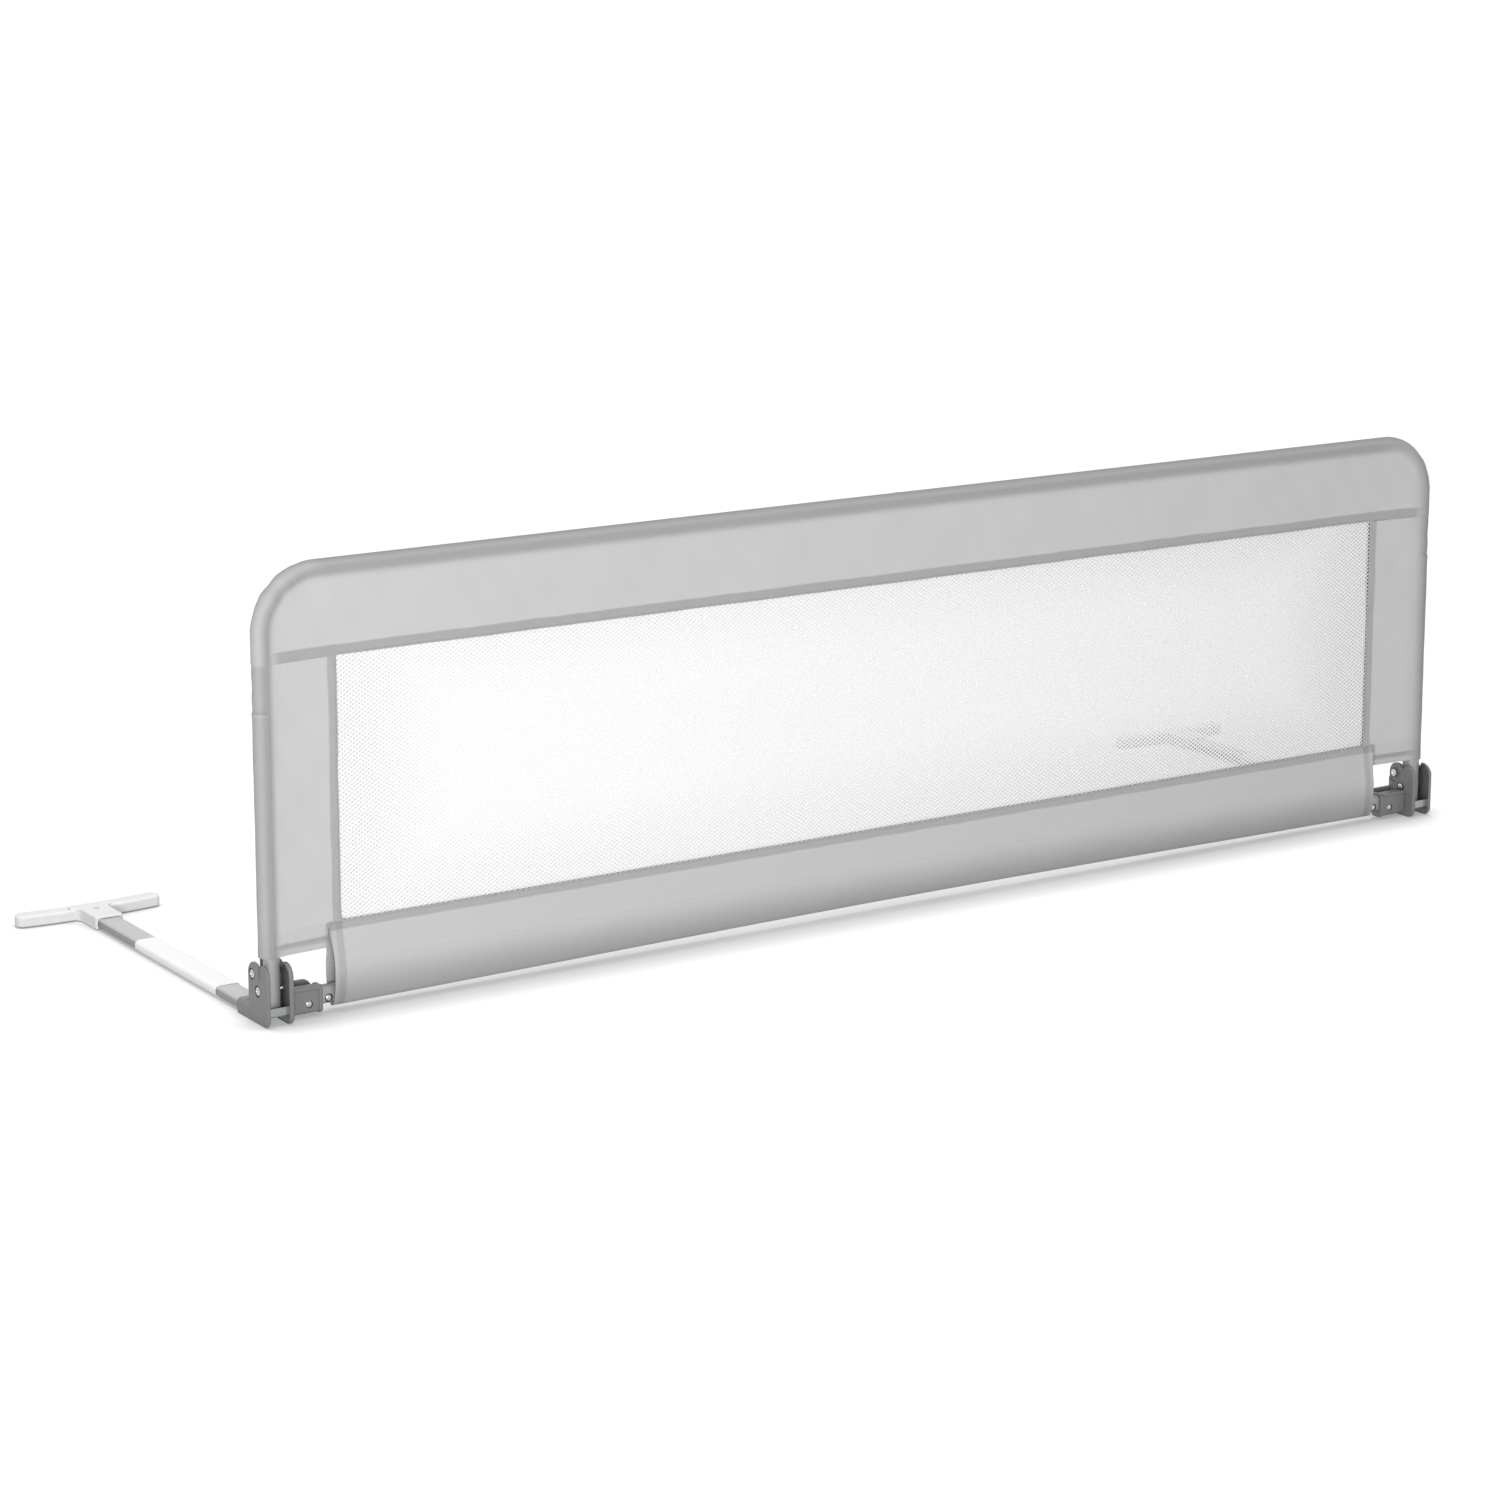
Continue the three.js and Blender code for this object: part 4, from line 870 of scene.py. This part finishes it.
def plate_outline(inset, foot=None):
    """Side view of a hinge half: a round boss and a lower brow with a notch between, a toe, and a foot."""
    rear, top = PLATE_DEPTH - inset, PLATE_HEIGHT - inset
    notch = top - NOTCH_DEPTH
    lean = 180 - math.degrees(math.asin((notch - BOSS_AT[1]) / (BOSS - inset)))
    notch_at = (NOTCH_FRONT + 0.6 - inset, notch + NOTCH_ROUND)
    hump_at = (BROW + HUMP - 0.6 - inset, top - NOTCH_ROUND)
    return chained(
        arc(BOSS_AT, BOSS - inset, 0, lean - 6, 24),
        arc(notch_at, NOTCH_ROUND, 300, 220, 6),
        arc(hump_at, NOTCH_ROUND, 50, 90, 6),
        arc((BROW, PLATE_HEIGHT - BROW), BROW - inset, 90, 180),
        arc((TOE, TOE), TOE - inset, 180, 270),
        [[rear, inset]] if foot is None else foot,
    )


def heeled_outline(inset):
    """The same with a small round heel."""
    return plate_outline(inset, arc((PLATE_DEPTH - HEEL, HEEL), HEEL - inset, 270, 360))


def armed_outline(inset):
    """The same, which runs on at its foot as an arm that carries the leg's socket."""
    high = SOCKET[1] - SOCKET[2] - inset
    return plate_outline(inset, [[ARM_END, inset], [ARM_END, high], [PLATE_DEPTH - inset, high]])


def lofted(outline, axis, low, high, edge=0.0, rings=4):
    """A closed solid along an axis between two planes, from an outline drawn in by a given inset.

    Its ring at each turn a lies edge * (1 - cos a) deep with the inset edge * (1 - sin a)."""
    turn = np.linspace(0, math.pi / 2, rings + 1) if edge else np.array([math.pi / 2])
    depth, inset = edge * (1 - np.cos(turn)), edge * (1 - np.sin(turn))
    levels = [(low + deep, drawn) for deep, drawn in zip(depth, inset)]
    levels += [(high - deep, drawn) for deep, drawn in zip(depth[::-1], inset[::-1])]
    loops = np.stack([np.insert(outline(drawn), axis, level, axis=1) for level, drawn in levels])
    columns = loops.shape[1]
    shape = bmesh.new()
    shape.from_mesh(joined_grid("sides", loops, closed_across=True))
    shape.verts.ensure_lookup_table()
    for start in (0, (len(loops) - 1) * columns):
        shape.faces.new([shape.verts[start + step] for step in range(columns)])
    bmesh.ops.recalc_face_normals(shape, faces=shape.faces)
    mesh = bpy.data.meshes.new("lofted")
    shape.to_mesh(mesh)
    shape.free()
    return mesh


def prism(points, axis, low, high):
    """A closed solid with a plain outline and sharp edges."""
    return lofted(lambda inset: np.array(points, float), axis, low, high)


def rod(axis, centre, radius, low, high):
    """A round rod along an axis."""
    return prism(arc(centre, radius, 0, 360, 49)[:-1], axis, low, high)


def block(low, high):
    """A plain block between two corners."""
    corners = [(low[0], low[1]), (high[0], low[1]), (high[0], high[1]), (low[0], high[1])]
    return prism(corners, 2, low[2], high[2])


def bolt_bores(low, high):
    """Rods that cut the bores for the pivot bolt and the stop bolt."""
    return [rod(0, PIVOT_AT, PIVOT_BORE, low, high), rod(0, STOP_AT, STOP_BORE, low, high)]


def carved(body, adds=(), cuts=()):
    """One solid made of a body, with others joined to it and others cut from it."""
    work = added("work", body)
    tools = []
    for operation, solids in (("UNION", adds), ("DIFFERENCE", cuts)):
        for solid in solids:
            tools.append(added("tool", solid))
            step = work.modifiers.new("step", "BOOLEAN")
            given(step, operation=operation, solver="EXACT", object=tools[-1])
    result = bpy.data.meshes.new_from_object(work.evaluated_get(bpy.context.evaluated_depsgraph_get()))
    for made in (work, *tools):
        bpy.data.objects.remove(made)
    return result


def rigid_piece(name, solid, finish, body, node, start=None, mirror=False):
    """A rigid piece in its place, from a solid in millimetres whose X starts at the left hinge."""
    mesh = solid.copy()
    mesh.name = name
    from_x = -HALF_LENGTH if start is None else start
    mesh.transform(Matrix.Translation((from_x, HINGE_FRONT, 0)) @ Matrix.Scale(0.001, 4))
    tidied(mesh, mirror=mirror)
    mesh.polygons.foreach_set("use_smooth", np.ones(len(mesh.polygons), bool))
    mesh.set_sharp_from_angle(angle=math.radians(32))
    piece = placed(name, mesh, finish, body, [node])
    given(piece.modifiers.new("normals", "WEIGHTED_NORMAL"), keep_sharp=True)
    return piece


def pair(node, solid, finish, bodies=("base", "base")):
    """The same piece at the left and, mirrored, at the right."""
    for side, body in zip(("left", "right"), bodies):
        rigid_piece(f"{side}_{node}_piece", solid, finish, body, f"{side}_{node}", mirror=side == "right")


def moulded_material(name, colour, roughness):
    """Moulded plastic with a fine grain and faint clouds of tone, and painted shade in its recesses and corners
    from ambient occlusion.
    """
    made, shader, place = material(name, colour, roughness, Specular_IOR_Level=0.45)
    grain = place.noise(1500.0)
    clouds = place.noise(45.0, 3.0)
    # Painted shade: ambient occlusion darkens the colour in recesses and corners.
    painted_shade_openness = place.node("ShaderNodeAmbientOcclusion", None, {"Distance": 0.0035}, "AO")
    feed(
        shader,
        Base_Color=((0.93 + clouds * 0.14) * (0.35 + painted_shade_openness.step(0.25, 0.85) * 0.65)).tint(colour),
        Roughness=roughness - 0.06 + clouds * 0.1 + grain * 0.04,
        Normal=grain.bump(0.18, 0.0001),
    )
    return made


def leg_outline(grow):
    return rounded(LEG_AT, *LEG_SIZE, grow)


def bar_outline(grow, height=BAR_Z):
    """Upright oval of the crossbar's section."""
    return rounded((TUBE_AT[1], height), *BAR_SIZE, grow)


def socket_block(size, run):
    """A rounded block on the floor, along Y, with soft ends."""
    width, height, corner = size
    centre = (width / 2, height / 2)
    return lofted(lambda inset: rounded(centre, width, height, corner, -inset), 1, *run, SOCKET_EDGE)


def outer_cover_solid():
    """Plate, arm and leg socket in one, with a pocket behind and two bolt seats. The front of its top
    leans in, which leaves the round boss standing out."""
    low, high = BROW_LEANS_FROM, PLATE_HEIGHT
    wedge = prism([(-PAST, low), (0, low), (BROW_LEAN, high), (-PAST, high)], 1, RIM, BOSS_AT[0])
    return carved(
        lofted(armed_outline, 0, 0, OUTER_PLATE, PLATE_ROUND),
        [socket_block(SOCKET, SOCKET_RUN), socket_block(COLLAR, COLLAR_RUN)],
        [
            prism(leg_outline(FIT), 1, *SOCKET_BORE_RUN),
            prism(plate_outline(RIM), 0, OUTER_PLATE - POCKET, OUTER_PLATE + PAST),
            carved(wedge, (), [rod(0, BOSS_AT, BOSS, -2 * PAST, 2 * PAST)]),
            rod(0, PIVOT_AT, SEAT, -PAST, SEAT_DEPTH),
            rod(0, STOP_AT, SEAT, -PAST, SEAT_DEPTH),
            *bolt_bores(-PAST, PAST),
        ],
    )


def inner_cover_solid():
    """Plate, sleeve with its end flange and top ridge, and the flange behind, with seats for nuts and screw."""
    start = INNER_PLATE - PLATE_ROUND
    middle = (TUBE_AT[1], (SLEEVE_LOW + SLEEVE_TOP) / 2)
    front = middle[0] - SLEEVE_HALF
    size = (2 * SLEEVE_HALF, SLEEVE_TOP - SLEEVE_LOW, SLEEVE_ROUND)
    flange_start, flange_end, bore_start, bore_end = (
        INNER_PLATE + along for along in (*SLEEVE_FLANGE_RUN, *SLEEVE_BORE_RUN)
    )
    groove = carved(
        rod(0, STOP_AT, BOSS - RIM, INNER_PLATE - GROOVE_DEPTH, INNER_PLATE + PAST),
        (),
        [rod(0, STOP_AT, GROOVE_INSIDE, INNER_FACE, INNER_PLATE + 2 * PAST)],
    )
    tab_end = INNER_PLATE + TAB_LENGTH - TAB_ROUND
    tab = chained(
        arc((tab_end, SLEEVE_LOW + TAB_ROUND), TAB_ROUND, -90, 0),
        arc((tab_end, TAB_TOP - TAB_ROUND), TAB_ROUND, 0, 90),
        [[start, TAB_TOP], [start, SLEEVE_LOW]],
    )
    return carved(
        lofted(heeled_outline, 0, INNER_FACE, INNER_PLATE, PLATE_ROUND),
        [
            prism(rounded(middle, *size), 0, start, INNER_PLATE + SLEEVE_LENGTH),
            lofted(lambda inset: rounded(middle, *size, SLEEVE_FLANGE - inset), 0, flange_start, flange_end, 0.9),
            prism(rounded((front + 3.4, SLEEVE_TOP - 0.7), *SLEEVE_RIDGE), 0, start, flange_start + 1),
            prism(tab, 1, PLATE_DEPTH - TAB_THICK, PLATE_DEPTH),
            block((start, middle[0], SLEEVE_LOW), (tab_end, PLATE_DEPTH - TAB_THICK / 2, SLEEVE_LOW + TAB_SILL)),
        ],
        [
            prism(bar_outline(FIT), 0, bore_start, bore_end),
            groove,
            prism(heeled_outline(RIM), 0, INNER_FACE - PAST, INNER_FACE + POCKET),
            rod(0, PIVOT_AT, SEAT, INNER_PLATE - SEAT_DEPTH, INNER_PLATE + PAST),
            rod(0, STOP_AT, INNER_STOP_SEAT, INNER_PLATE - SEAT_DEPTH, INNER_PLATE + PAST),
            *bolt_bores(INNER_FACE - 1, INNER_PLATE + PAST),
            rod(1, SLEEVE_SCREW_AT, SLEEVE_SCREW_SEAT, front - PAST, front + SCREW_SEAT_DEPTH),
            rod(1, SLEEVE_SCREW_AT, SLEEVE_SCREW_BORE, front - PAST, middle[0]),
        ],
    )


hinge_plastic = moulded_material("hinge_plastic", (0.195, 0.195, 0.202), 0.42)
pair("outer_cover", outer_cover_solid(), hinge_plastic)
pair("inner_cover", inner_cover_solid(), hinge_plastic)


# Hinge brackets, bolts and nuts
# A zinc-plated steel U lies between the two halves of each housing. A pivot bolt and a stop bolt with
# domed heads go through them from outside, and cap nuts close them inside.
CHEEK_INSET = RIM + FIT
CHEEK = 1.0
OUTER_CHEEK = OUTER_PLATE - 0.2
INNER_CHEEK = INNER_FACE + 0.2
SADDLE_STEEL = 1.2
SADDLE_BEND = 2.0
SADDLE_LOW = 9.0
SADDLE_TOP = 18.5
SADDLE_FRONT = 4.5
SADDLE_BACK = 38.0
HEAD = 4.3
HEAD_RISE = 0.7
HEAD_CROSS = (4.6, 1.1)
PIVOT_SHANK = 3.0
STOP_SHANK = 2.0
NUT_SEAT = INNER_PLATE - 1.5


def steel_material(name, colour, roughness, brushed):
    """Plated steel: a faint cloudy spangle, and a brushed grain along Z of the given strength."""
    made, shader, place = material(name, colour, roughness, Metallic=1.0)
    spangle = place.noise(420.0, 3.0)
    strokes = place.noise(900.0, 2.0, (1, 1, 0.05))
    feed(
        shader,
        Base_Color=(0.88 + spangle * 0.2).tint(colour),
        Roughness=roughness - 0.05 + spangle * 0.12,
        Normal=strokes.bump(brushed, 0.0001),
    )
    return made


def turned(profile, axis, centre, count=48):
    """A closed solid of revolution from points of radius and place along the axis, in millimetres."""
    radius, level = np.array(profile, float).T
    turn = np.arange(count) * 2 * math.pi / count
    points = np.empty((len(radius), count, 3))
    across = [other for other in range(3) if other != axis]
    points[..., axis] = level[:, None]
    points[..., across[0]] = centre[0] + radius[:, None] * np.cos(turn)
    points[..., across[1]] = centre[1] + radius[:, None] * np.sin(turn)
    return tidied(joined_grid("turned", points, closed_across=True), 1e-4)


def dome(radius, rim, rise):
    """Profile of a shallow dome from its middle to its rim, flat first and round at the edge."""
    return [(radius * share, rim + rise * (1 - share**3)) for share in np.linspace(0, 1, 8)]


def cross(axis, centre, low, high, reach, width):
    """The two crossed slots of a driver's recess."""
    slots = []
    for a, b in ((reach / 2, width / 2), (width / 2, reach / 2)):
        corners = [(centre[0] + x * a, centre[1] + y * b) for x, y in SQUARE]
        slots.append(prism(corners, axis, low, high))
    return slots


def bracket_solid():
    """Two cheeks, joined by a floor that is bent up in front."""
    bend = (SADDLE_FRONT + SADDLE_BEND, SADDLE_LOW + SADDLE_BEND)
    saddle = chained(
        [[SADDLE_BACK, SADDLE_LOW], [SADDLE_BACK, SADDLE_LOW + SADDLE_STEEL]],
        arc(bend, SADDLE_BEND - SADDLE_STEEL, 270, 180, 6),
        [[SADDLE_FRONT + SADDLE_STEEL, SADDLE_TOP], [SADDLE_FRONT, SADDLE_TOP]],
        arc(bend, SADDLE_BEND, 180, 270, 8),
    )
    outline = heeled_outline(CHEEK_INSET)
    return carved(
        prism(outline, 0, OUTER_CHEEK - CHEEK, OUTER_CHEEK),
        [
            prism(outline, 0, INNER_CHEEK, INNER_CHEEK + CHEEK),
            prism(saddle, 0, OUTER_CHEEK - CHEEK / 2, INNER_CHEEK + CHEEK / 2),
        ],
        bolt_bores(-PAST, INNER_PLATE + PAST),
    )


def bolt_solid(centre, shank):
    """A domed head with a driver's cross on the outer plate, and a shank to the nut."""
    tip = NUT_SEAT + 1.1
    profile = [*dome(HEAD, 0.4, -HEAD_RISE - 0.4), (HEAD, 1.4), (shank, 1.4), (shank, tip), (0, tip)]
    return carved(turned(profile, 0, centre), (), cross(0, centre, -2, 0.1, *HEAD_CROSS))


def nut_solid(centre, shank):
    """A domed cap with a driver's cross over the end of the shank."""
    end, bore = NUT_SEAT + 1.4, shank + FIT
    profile = [*dome(HEAD, end + 0.4, HEAD_RISE), (HEAD, NUT_SEAT), (bore, NUT_SEAT), (bore, end), (0, end)]
    return carved(turned(profile, 0, centre), (), cross(0, centre, end + 0.5, end + 3, *HEAD_CROSS))


bracket_steel = steel_material("bracket_steel", (0.34, 0.355, 0.35), 0.36, 0.15)
bright_steel = steel_material("bright_steel", (0.6, 0.6, 0.59), 0.25, 0.0)
pair("u_bracket", bracket_solid(), bracket_steel)
for kind, solid_at in (("bolt", bolt_solid), ("nut", nut_solid)):
    for use, centre, shank in (("pivot", PIVOT_AT, PIVOT_SHANK), ("stop", STOP_AT, STOP_SHANK)):
        pair(f"{use}_{kind}", solid_at(centre, shank), bright_steel)


# Frame tubes and crossbar
# Steel tube in a satin grey powder coat. The uprights show below the cover and the oval bar at its ends,
# with a screw in each sleeve and one through the bar into its insert.
TUBE_BORE = 8.3
TUBE_OUT = TUBE_RADIUS * 1000
TUBE_LOW = 14.3
LIFT = 8
SPIGOT_LENGTH = 40
SLIT = (46, 104)
BAR_WALL = 1.2
BAR_BOW = 5.0
BAR_SCREW_AT = (74.1, 15.5)
SCREW_HEAD = 3.0
SCREW_SHANK = 1.5
SCREW_CROSS = (3.4, 0.8)
INSERT_FRONT = TUBE_AT[1] - BAR_SIZE[0] / 2 + BAR_WALL + FIT


def paint_material(name, colour, roughness, metallic, side_shade=0.0):
    """Powder coat: fine orange peel as relief, with slight clouds of tone and gloss.

    Its sides, which face neither up nor down, can get painted shade that darkens a flat tube's sides."""
    made, shader, place = material(name, colour, roughness, Metallic=metallic)
    peel = place.noise(700.0, 1.0)
    facing_up = place.node("ShaderNodeNewGeometry", out="Normal").parts()[2].size()
    clouds = place.noise(30.0, 3.0)
    feed(
        shader,
        # Painted shade on the sides, from the surface's direction.
        Base_Color=((0.94 + clouds * 0.12) * (1 - (1 - facing_up).step(0.1, 0.7) * side_shade)).tint(colour),
        Roughness=roughness - 0.04 + clouds * 0.08,
        Normal=peel.bump(0.12, 0.0002),
    )
    return made


def upright_solid():
    """The tube's lower half, hollow, with its narrowed end for the corner tube, its lift slot, and the
    long slit outside that shows as a dark line under the cover."""
    joint = TUBE_JOINT * 1000 - FIT
    spigot = TUBE_BORE - FIT
    profile = [(TUBE_BORE, TUBE_LOW), (TUBE_OUT - 0.3, TUBE_LOW), (TUBE_OUT, TUBE_LOW + 0.3), (TUBE_OUT, joint)]
    profile += [(spigot, joint), (spigot, joint + SPIGOT_LENGTH), (spigot - BAR_WALL, joint + SPIGOT_LENGTH)]
    profile += [(spigot - BAR_WALL, joint - BAR_WALL), (TUBE_BORE, joint - BAR_WALL), (TUBE_BORE, TUBE_LOW)]
    low_end_shade = (PIVOT_AT[0], PIVOT_AT[1] - LIFT)
    slot = chained(arc(PIVOT_AT, PIVOT_BORE, 0, 180), arc(low_end_shade, PIVOT_BORE, 180, 360))
    slit = block((-PAST, TUBE_AT[1] - 3.2, SLIT[0]), (TUBE_AT[0], TUBE_AT[1] + 3, SLIT[1]))
    return carved(turned(profile, 2, TUBE_AT, 64), (), [prism(slot, 0, -PAST, 30), slit])


def crossbar_solid():
    """A hollow oval bar that bows up in its middle, with round holes for the screws; X from the middle."""
    end = HALF_LENGTH * 1000 - INNER_PLATE
    x = np.linspace(-1, 1, 61) * (end - SLEEVE_BORE_RUN[0] - FIT)
    rise = BAR_Z + BAR_BOW * (1 - (x / end) ** 2) ** 2
    outer = [np.insert(bar_outline(0, high), 0, place, axis=1) for place, high in zip(x, rise)]
    inner = [np.insert(bar_outline(-BAR_WALL, high), 0, place, axis=1) for place, high in zip(x, rise)]
    bar = tidied(joined_grid("bar", np.stack(outer + inner[::-1]), closed_along=True, closed_across=True), 1e-4)
    holes = [
        rod(1, (sign * (HALF_LENGTH * 1000 - inset), height), radius, TUBE_AT[1] - 10, TUBE_AT[1])
        for sign in (-1, 1)
        for (inset, height), radius in ((BAR_SCREW_AT, 4.5), (SLEEVE_SCREW_AT, SLEEVE_SCREW_BORE))
    ]
    return carved(bar, (), holes)


def screw_solid(seat, place):
    """A domed head with a driver's cross, and a shank that ends in the insert."""
    tip = INSERT_FRONT + 6 - FIT
    crown = dome(SCREW_HEAD, seat - 0.6, -0.6)
    profile = [*crown, (SCREW_HEAD, seat), (SCREW_SHANK, seat), (SCREW_SHANK, tip), (0, tip)]
    return carved(turned(profile, 1, place), (), cross(1, place, seat - 3, seat - 0.6, *SCREW_CROSS))


frame_paint = paint_material("frame_paint", (0.34, 0.342, 0.35), 0.38, 0.25)
pair("upright_tube", upright_solid(), frame_paint, ("guard", "guard"))
rigid_piece("crossbar_piece", crossbar_solid(), frame_paint, "base", "crossbar", start=0)
sleeve_seat = TUBE_AT[1] - SLEEVE_HALF + 1.3
pair("sleeve_screw", screw_solid(sleeve_seat, SLEEVE_SCREW_AT), bright_steel)
pair("crossbar_screw", screw_solid(INSERT_FRONT - FIT, BAR_SCREW_AT), bright_steel)


# Legs and feet
# Flat oval steel legs in a silver coat, each in a bare white film sleeve, with a T-shaped white foot of
# moulded plastic that a snap button locks on. A folded leaf spring inside lifts the button.
LEG_START = 45.3
LEG_END = 446.0
LEG_WALL = 1.2
LABEL_ENDS = (121, 311)
FOOT_AT = 457.5
FOOT_LENGTH = 162.0
FOOT_DEPTH = 20.0
FOOT_HEIGHT = 13.0
FOOT_ROUND = 3.2
FOOT_TIP = 8.0
FOOT_SWEEP = 5.0
FOOT_SOCKET_TOP = 14.2
FOOT_SOCKET_HALF = 15.5
FOOT_SOCKET_START = 405.0
FOOT_FILLET = 9.0
BUTTON_AT = (LEG_AT[0], LEG_END - 8)
BUTTON_PIN = 2.7
BUTTON_FLANGE = 4.0
FILM_WHITE = (0.91, 0.91, 0.915)


def pipe(outer, inner, low, high):
    """A tube along Y between two outlines with the same number of points."""
    levels = ((outer, low), (outer, high), (inner, high), (inner, low))
    loops = np.stack([np.insert(points, 1, level, axis=1) for points, level in levels])
    return tidied(joined_grid("pipe", loops, closed_along=True, closed_across=True), 1e-4)


def foot_outline(inset):
    """Plan of the foot's bar: two long arcs swept back at the tips, which are round."""
    reach = FOOT_LENGTH / 2 - FOOT_TIP
    sweep = reach**2 / (2 * FOOT_SWEEP)
    half = math.degrees(math.asin(reach / sweep))
    centre = np.array((LEG_AT[0], FOOT_AT + sweep))
    tips = []
    for side in (1, -1):
        lean = math.radians(-90 + side * half)
        for step, across in enumerate((side, -side)):
            from_centre = sweep + across * (FOOT_DEPTH / 2 - FOOT_TIP)
            start = math.degrees(lean) + side * 90 - 90 + 90 * step
            at = centre + from_centre * np.array((math.cos(lean), math.sin(lean)))
            tips.append(arc(at, FOOT_TIP - inset, start, start + 90, 10)[: 10 - step])
    front = arc(centre, sweep + FOOT_DEPTH / 2 - inset, -90 - half, -90 + half, 26)[1:-1]
    back = arc(centre, sweep - FOOT_DEPTH / 2 + inset, -90 + half, -90 - half, 26)[:-1]
    return chained(front, tips[0], tips[1][1:], back, tips[2][1:], tips[3][1:])


def foot_socket_outline(inset):
    """Plan of the foot's socket, which widens into the bar in two round fillets."""
    x, half = LEG_AT[0], FOOT_SOCKET_HALF - inset
    front, root = FOOT_SOCKET_START + inset, FOOT_AT - 7.5 + inset
    fillet = FOOT_FILLET + inset
    corner = 2.5
    return chained(
        arc((x - half + corner, front + corner), corner, 180, 270, 7),
        arc((x + half - corner, front + corner), corner, 270, 360, 7),
        arc((x + half + fillet, root - fillet), fillet, 180, 90, 12),
        [[x + half + fillet, FOOT_AT], [x - half - fillet, FOOT_AT]],
        arc((x - half - fillet, root - fillet), fillet, 90, 0, 12),
    )


def button_hole():
    """A rod that cuts the button's hole."""
    return rod(2, BUTTON_AT, BUTTON_PIN + FIT, LEG_AT[1], 25)


def foot_solid():
    """Bar and socket in one, with the leg's bore and the button's hole."""
    return carved(
        lofted(foot_outline, 2, 0, FOOT_HEIGHT, FOOT_ROUND, 6),
        [lofted(foot_socket_outline, 2, FIT, FOOT_SOCKET_TOP, 1.2)],
        [prism(leg_outline(FIT), 1, FOOT_SOCKET_START - PAST, LEG_END + FIT), button_hole()],
    )


def button_solid():
    """A domed pin with a flange that stays inside the leg."""
    flange = LEG_AT[1] + LEG_SIZE[1] / 2 - LEG_WALL - FIT
    crown = dome(BUTTON_PIN, FOOT_SOCKET_TOP + 0.4, 0.6)
    rim = [(BUTTON_FLANGE, flange), (BUTTON_FLANGE, flange - 1), (0, flange - 1)]
    return turned([*crown, (BUTTON_PIN, flange), *rim], 2, BUTTON_AT, 32)


SPRING_STEEL = 0.6
SPRING_LENGTH = 24.0
SPRING_HALF = 3.0
SPRING_LOW = LEG_AT[1] - LEG_SIZE[1] / 2 + LEG_WALL + FIT
SPRING_HIGH = LEG_AT[1] + LEG_SIZE[1] / 2 - LEG_WALL - 2 * FIT - 1


def spring_solid():
    """A steel strip folded back on itself, whose upper leaf presses on the button's flange."""
    end, outer = BUTTON_AT[1] + 4, (SPRING_HIGH - SPRING_LOW) / 2
    inner = outer - SPRING_STEEL
    fold = (end - SPRING_LENGTH + outer, SPRING_LOW + outer)
    outline = chained(
        [[end, SPRING_HIGH]],
        arc(fold, outer, 90, 270, 16),
        [[end, SPRING_LOW], [end, SPRING_LOW + SPRING_STEEL]],
        arc(fold, inner, 270, 90, 16),
        [[end, SPRING_HIGH - SPRING_STEEL]],
    )
    return prism(outline, 0, LEG_AT[0] - SPRING_HALF, LEG_AT[0] + SPRING_HALF)


def film_material():
    """Thin white film, faintly wrinkled round the leg, with a soft shine."""
    made, shader, place = material("label_film", FILM_WHITE, 0.35, Specular_IOR_Level=0.4)
    wrinkles = place.noise(60.0, 3.0, (1, 0.4, 1))
    feed(shader, Base_Color=(0.95 + wrinkles * 0.08).tint(FILM_WHITE), Normal=wrinkles.bump(0.12, 0.0005))
    return made


# Painted shade darkens the leg's sides.
leg_paint = paint_material("leg_paint", (0.5, 0.505, 0.515), 0.33, 0.4, 0.5)
foot_plastic = moulded_material("foot_plastic", (0.77, 0.775, 0.78), 0.4)
leg = carved(pipe(leg_outline(0), leg_outline(-LEG_WALL), LEG_START, LEG_END), (), [button_hole()])
pair("leg_tube", leg, leg_paint)
pair("leg_label", pipe(leg_outline(0.7), leg_outline(0.2), *LABEL_ENDS), film_material())
pair("foot", foot_solid(), foot_plastic)
pair("snap_button", button_solid(), bright_steel, ("left_button", "right_button"))
for side in ("left", "right"):
    name = f"{side}_button_spring"
    spring = rigid_piece(
        f"{name}_piece", spring_solid(), bright_steel, None, name, mirror=side == "right"
    )
    at_button = HINGE_FRONT + BUTTON_AT[1] / 1000
    span = [(0, at_button, level / 1000) for level in (SPRING_LOW + SPRING_STEEL, SPRING_HIGH - SPRING_STEEL)]
    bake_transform(spring)


# Pieces inside
# The corner tubes and their joiner in the sleeve, the tubes' plugs and bushes and the bar's inserts keep
# their CAD form and get their own finish.
inner_plastic = moulded_material("inner_plastic", (0.07, 0.07, 0.075), 0.5)
for finish, nodes in (
    (frame_paint, ("corner_tube",)),
    (inner_plastic, ("tube_plug", "pivot_bush", "crossbar_insert")),
):
    for node in nodes:
        for side in ("left", "right"):
            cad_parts[f"{side}_{node}"].material_slots[0].material = finish
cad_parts["top_joiner"].material_slots[0].material = frame_paint

for linked in left_unlit.collection_objects:
    linked.light_linking.link_state = "EXCLUDE"
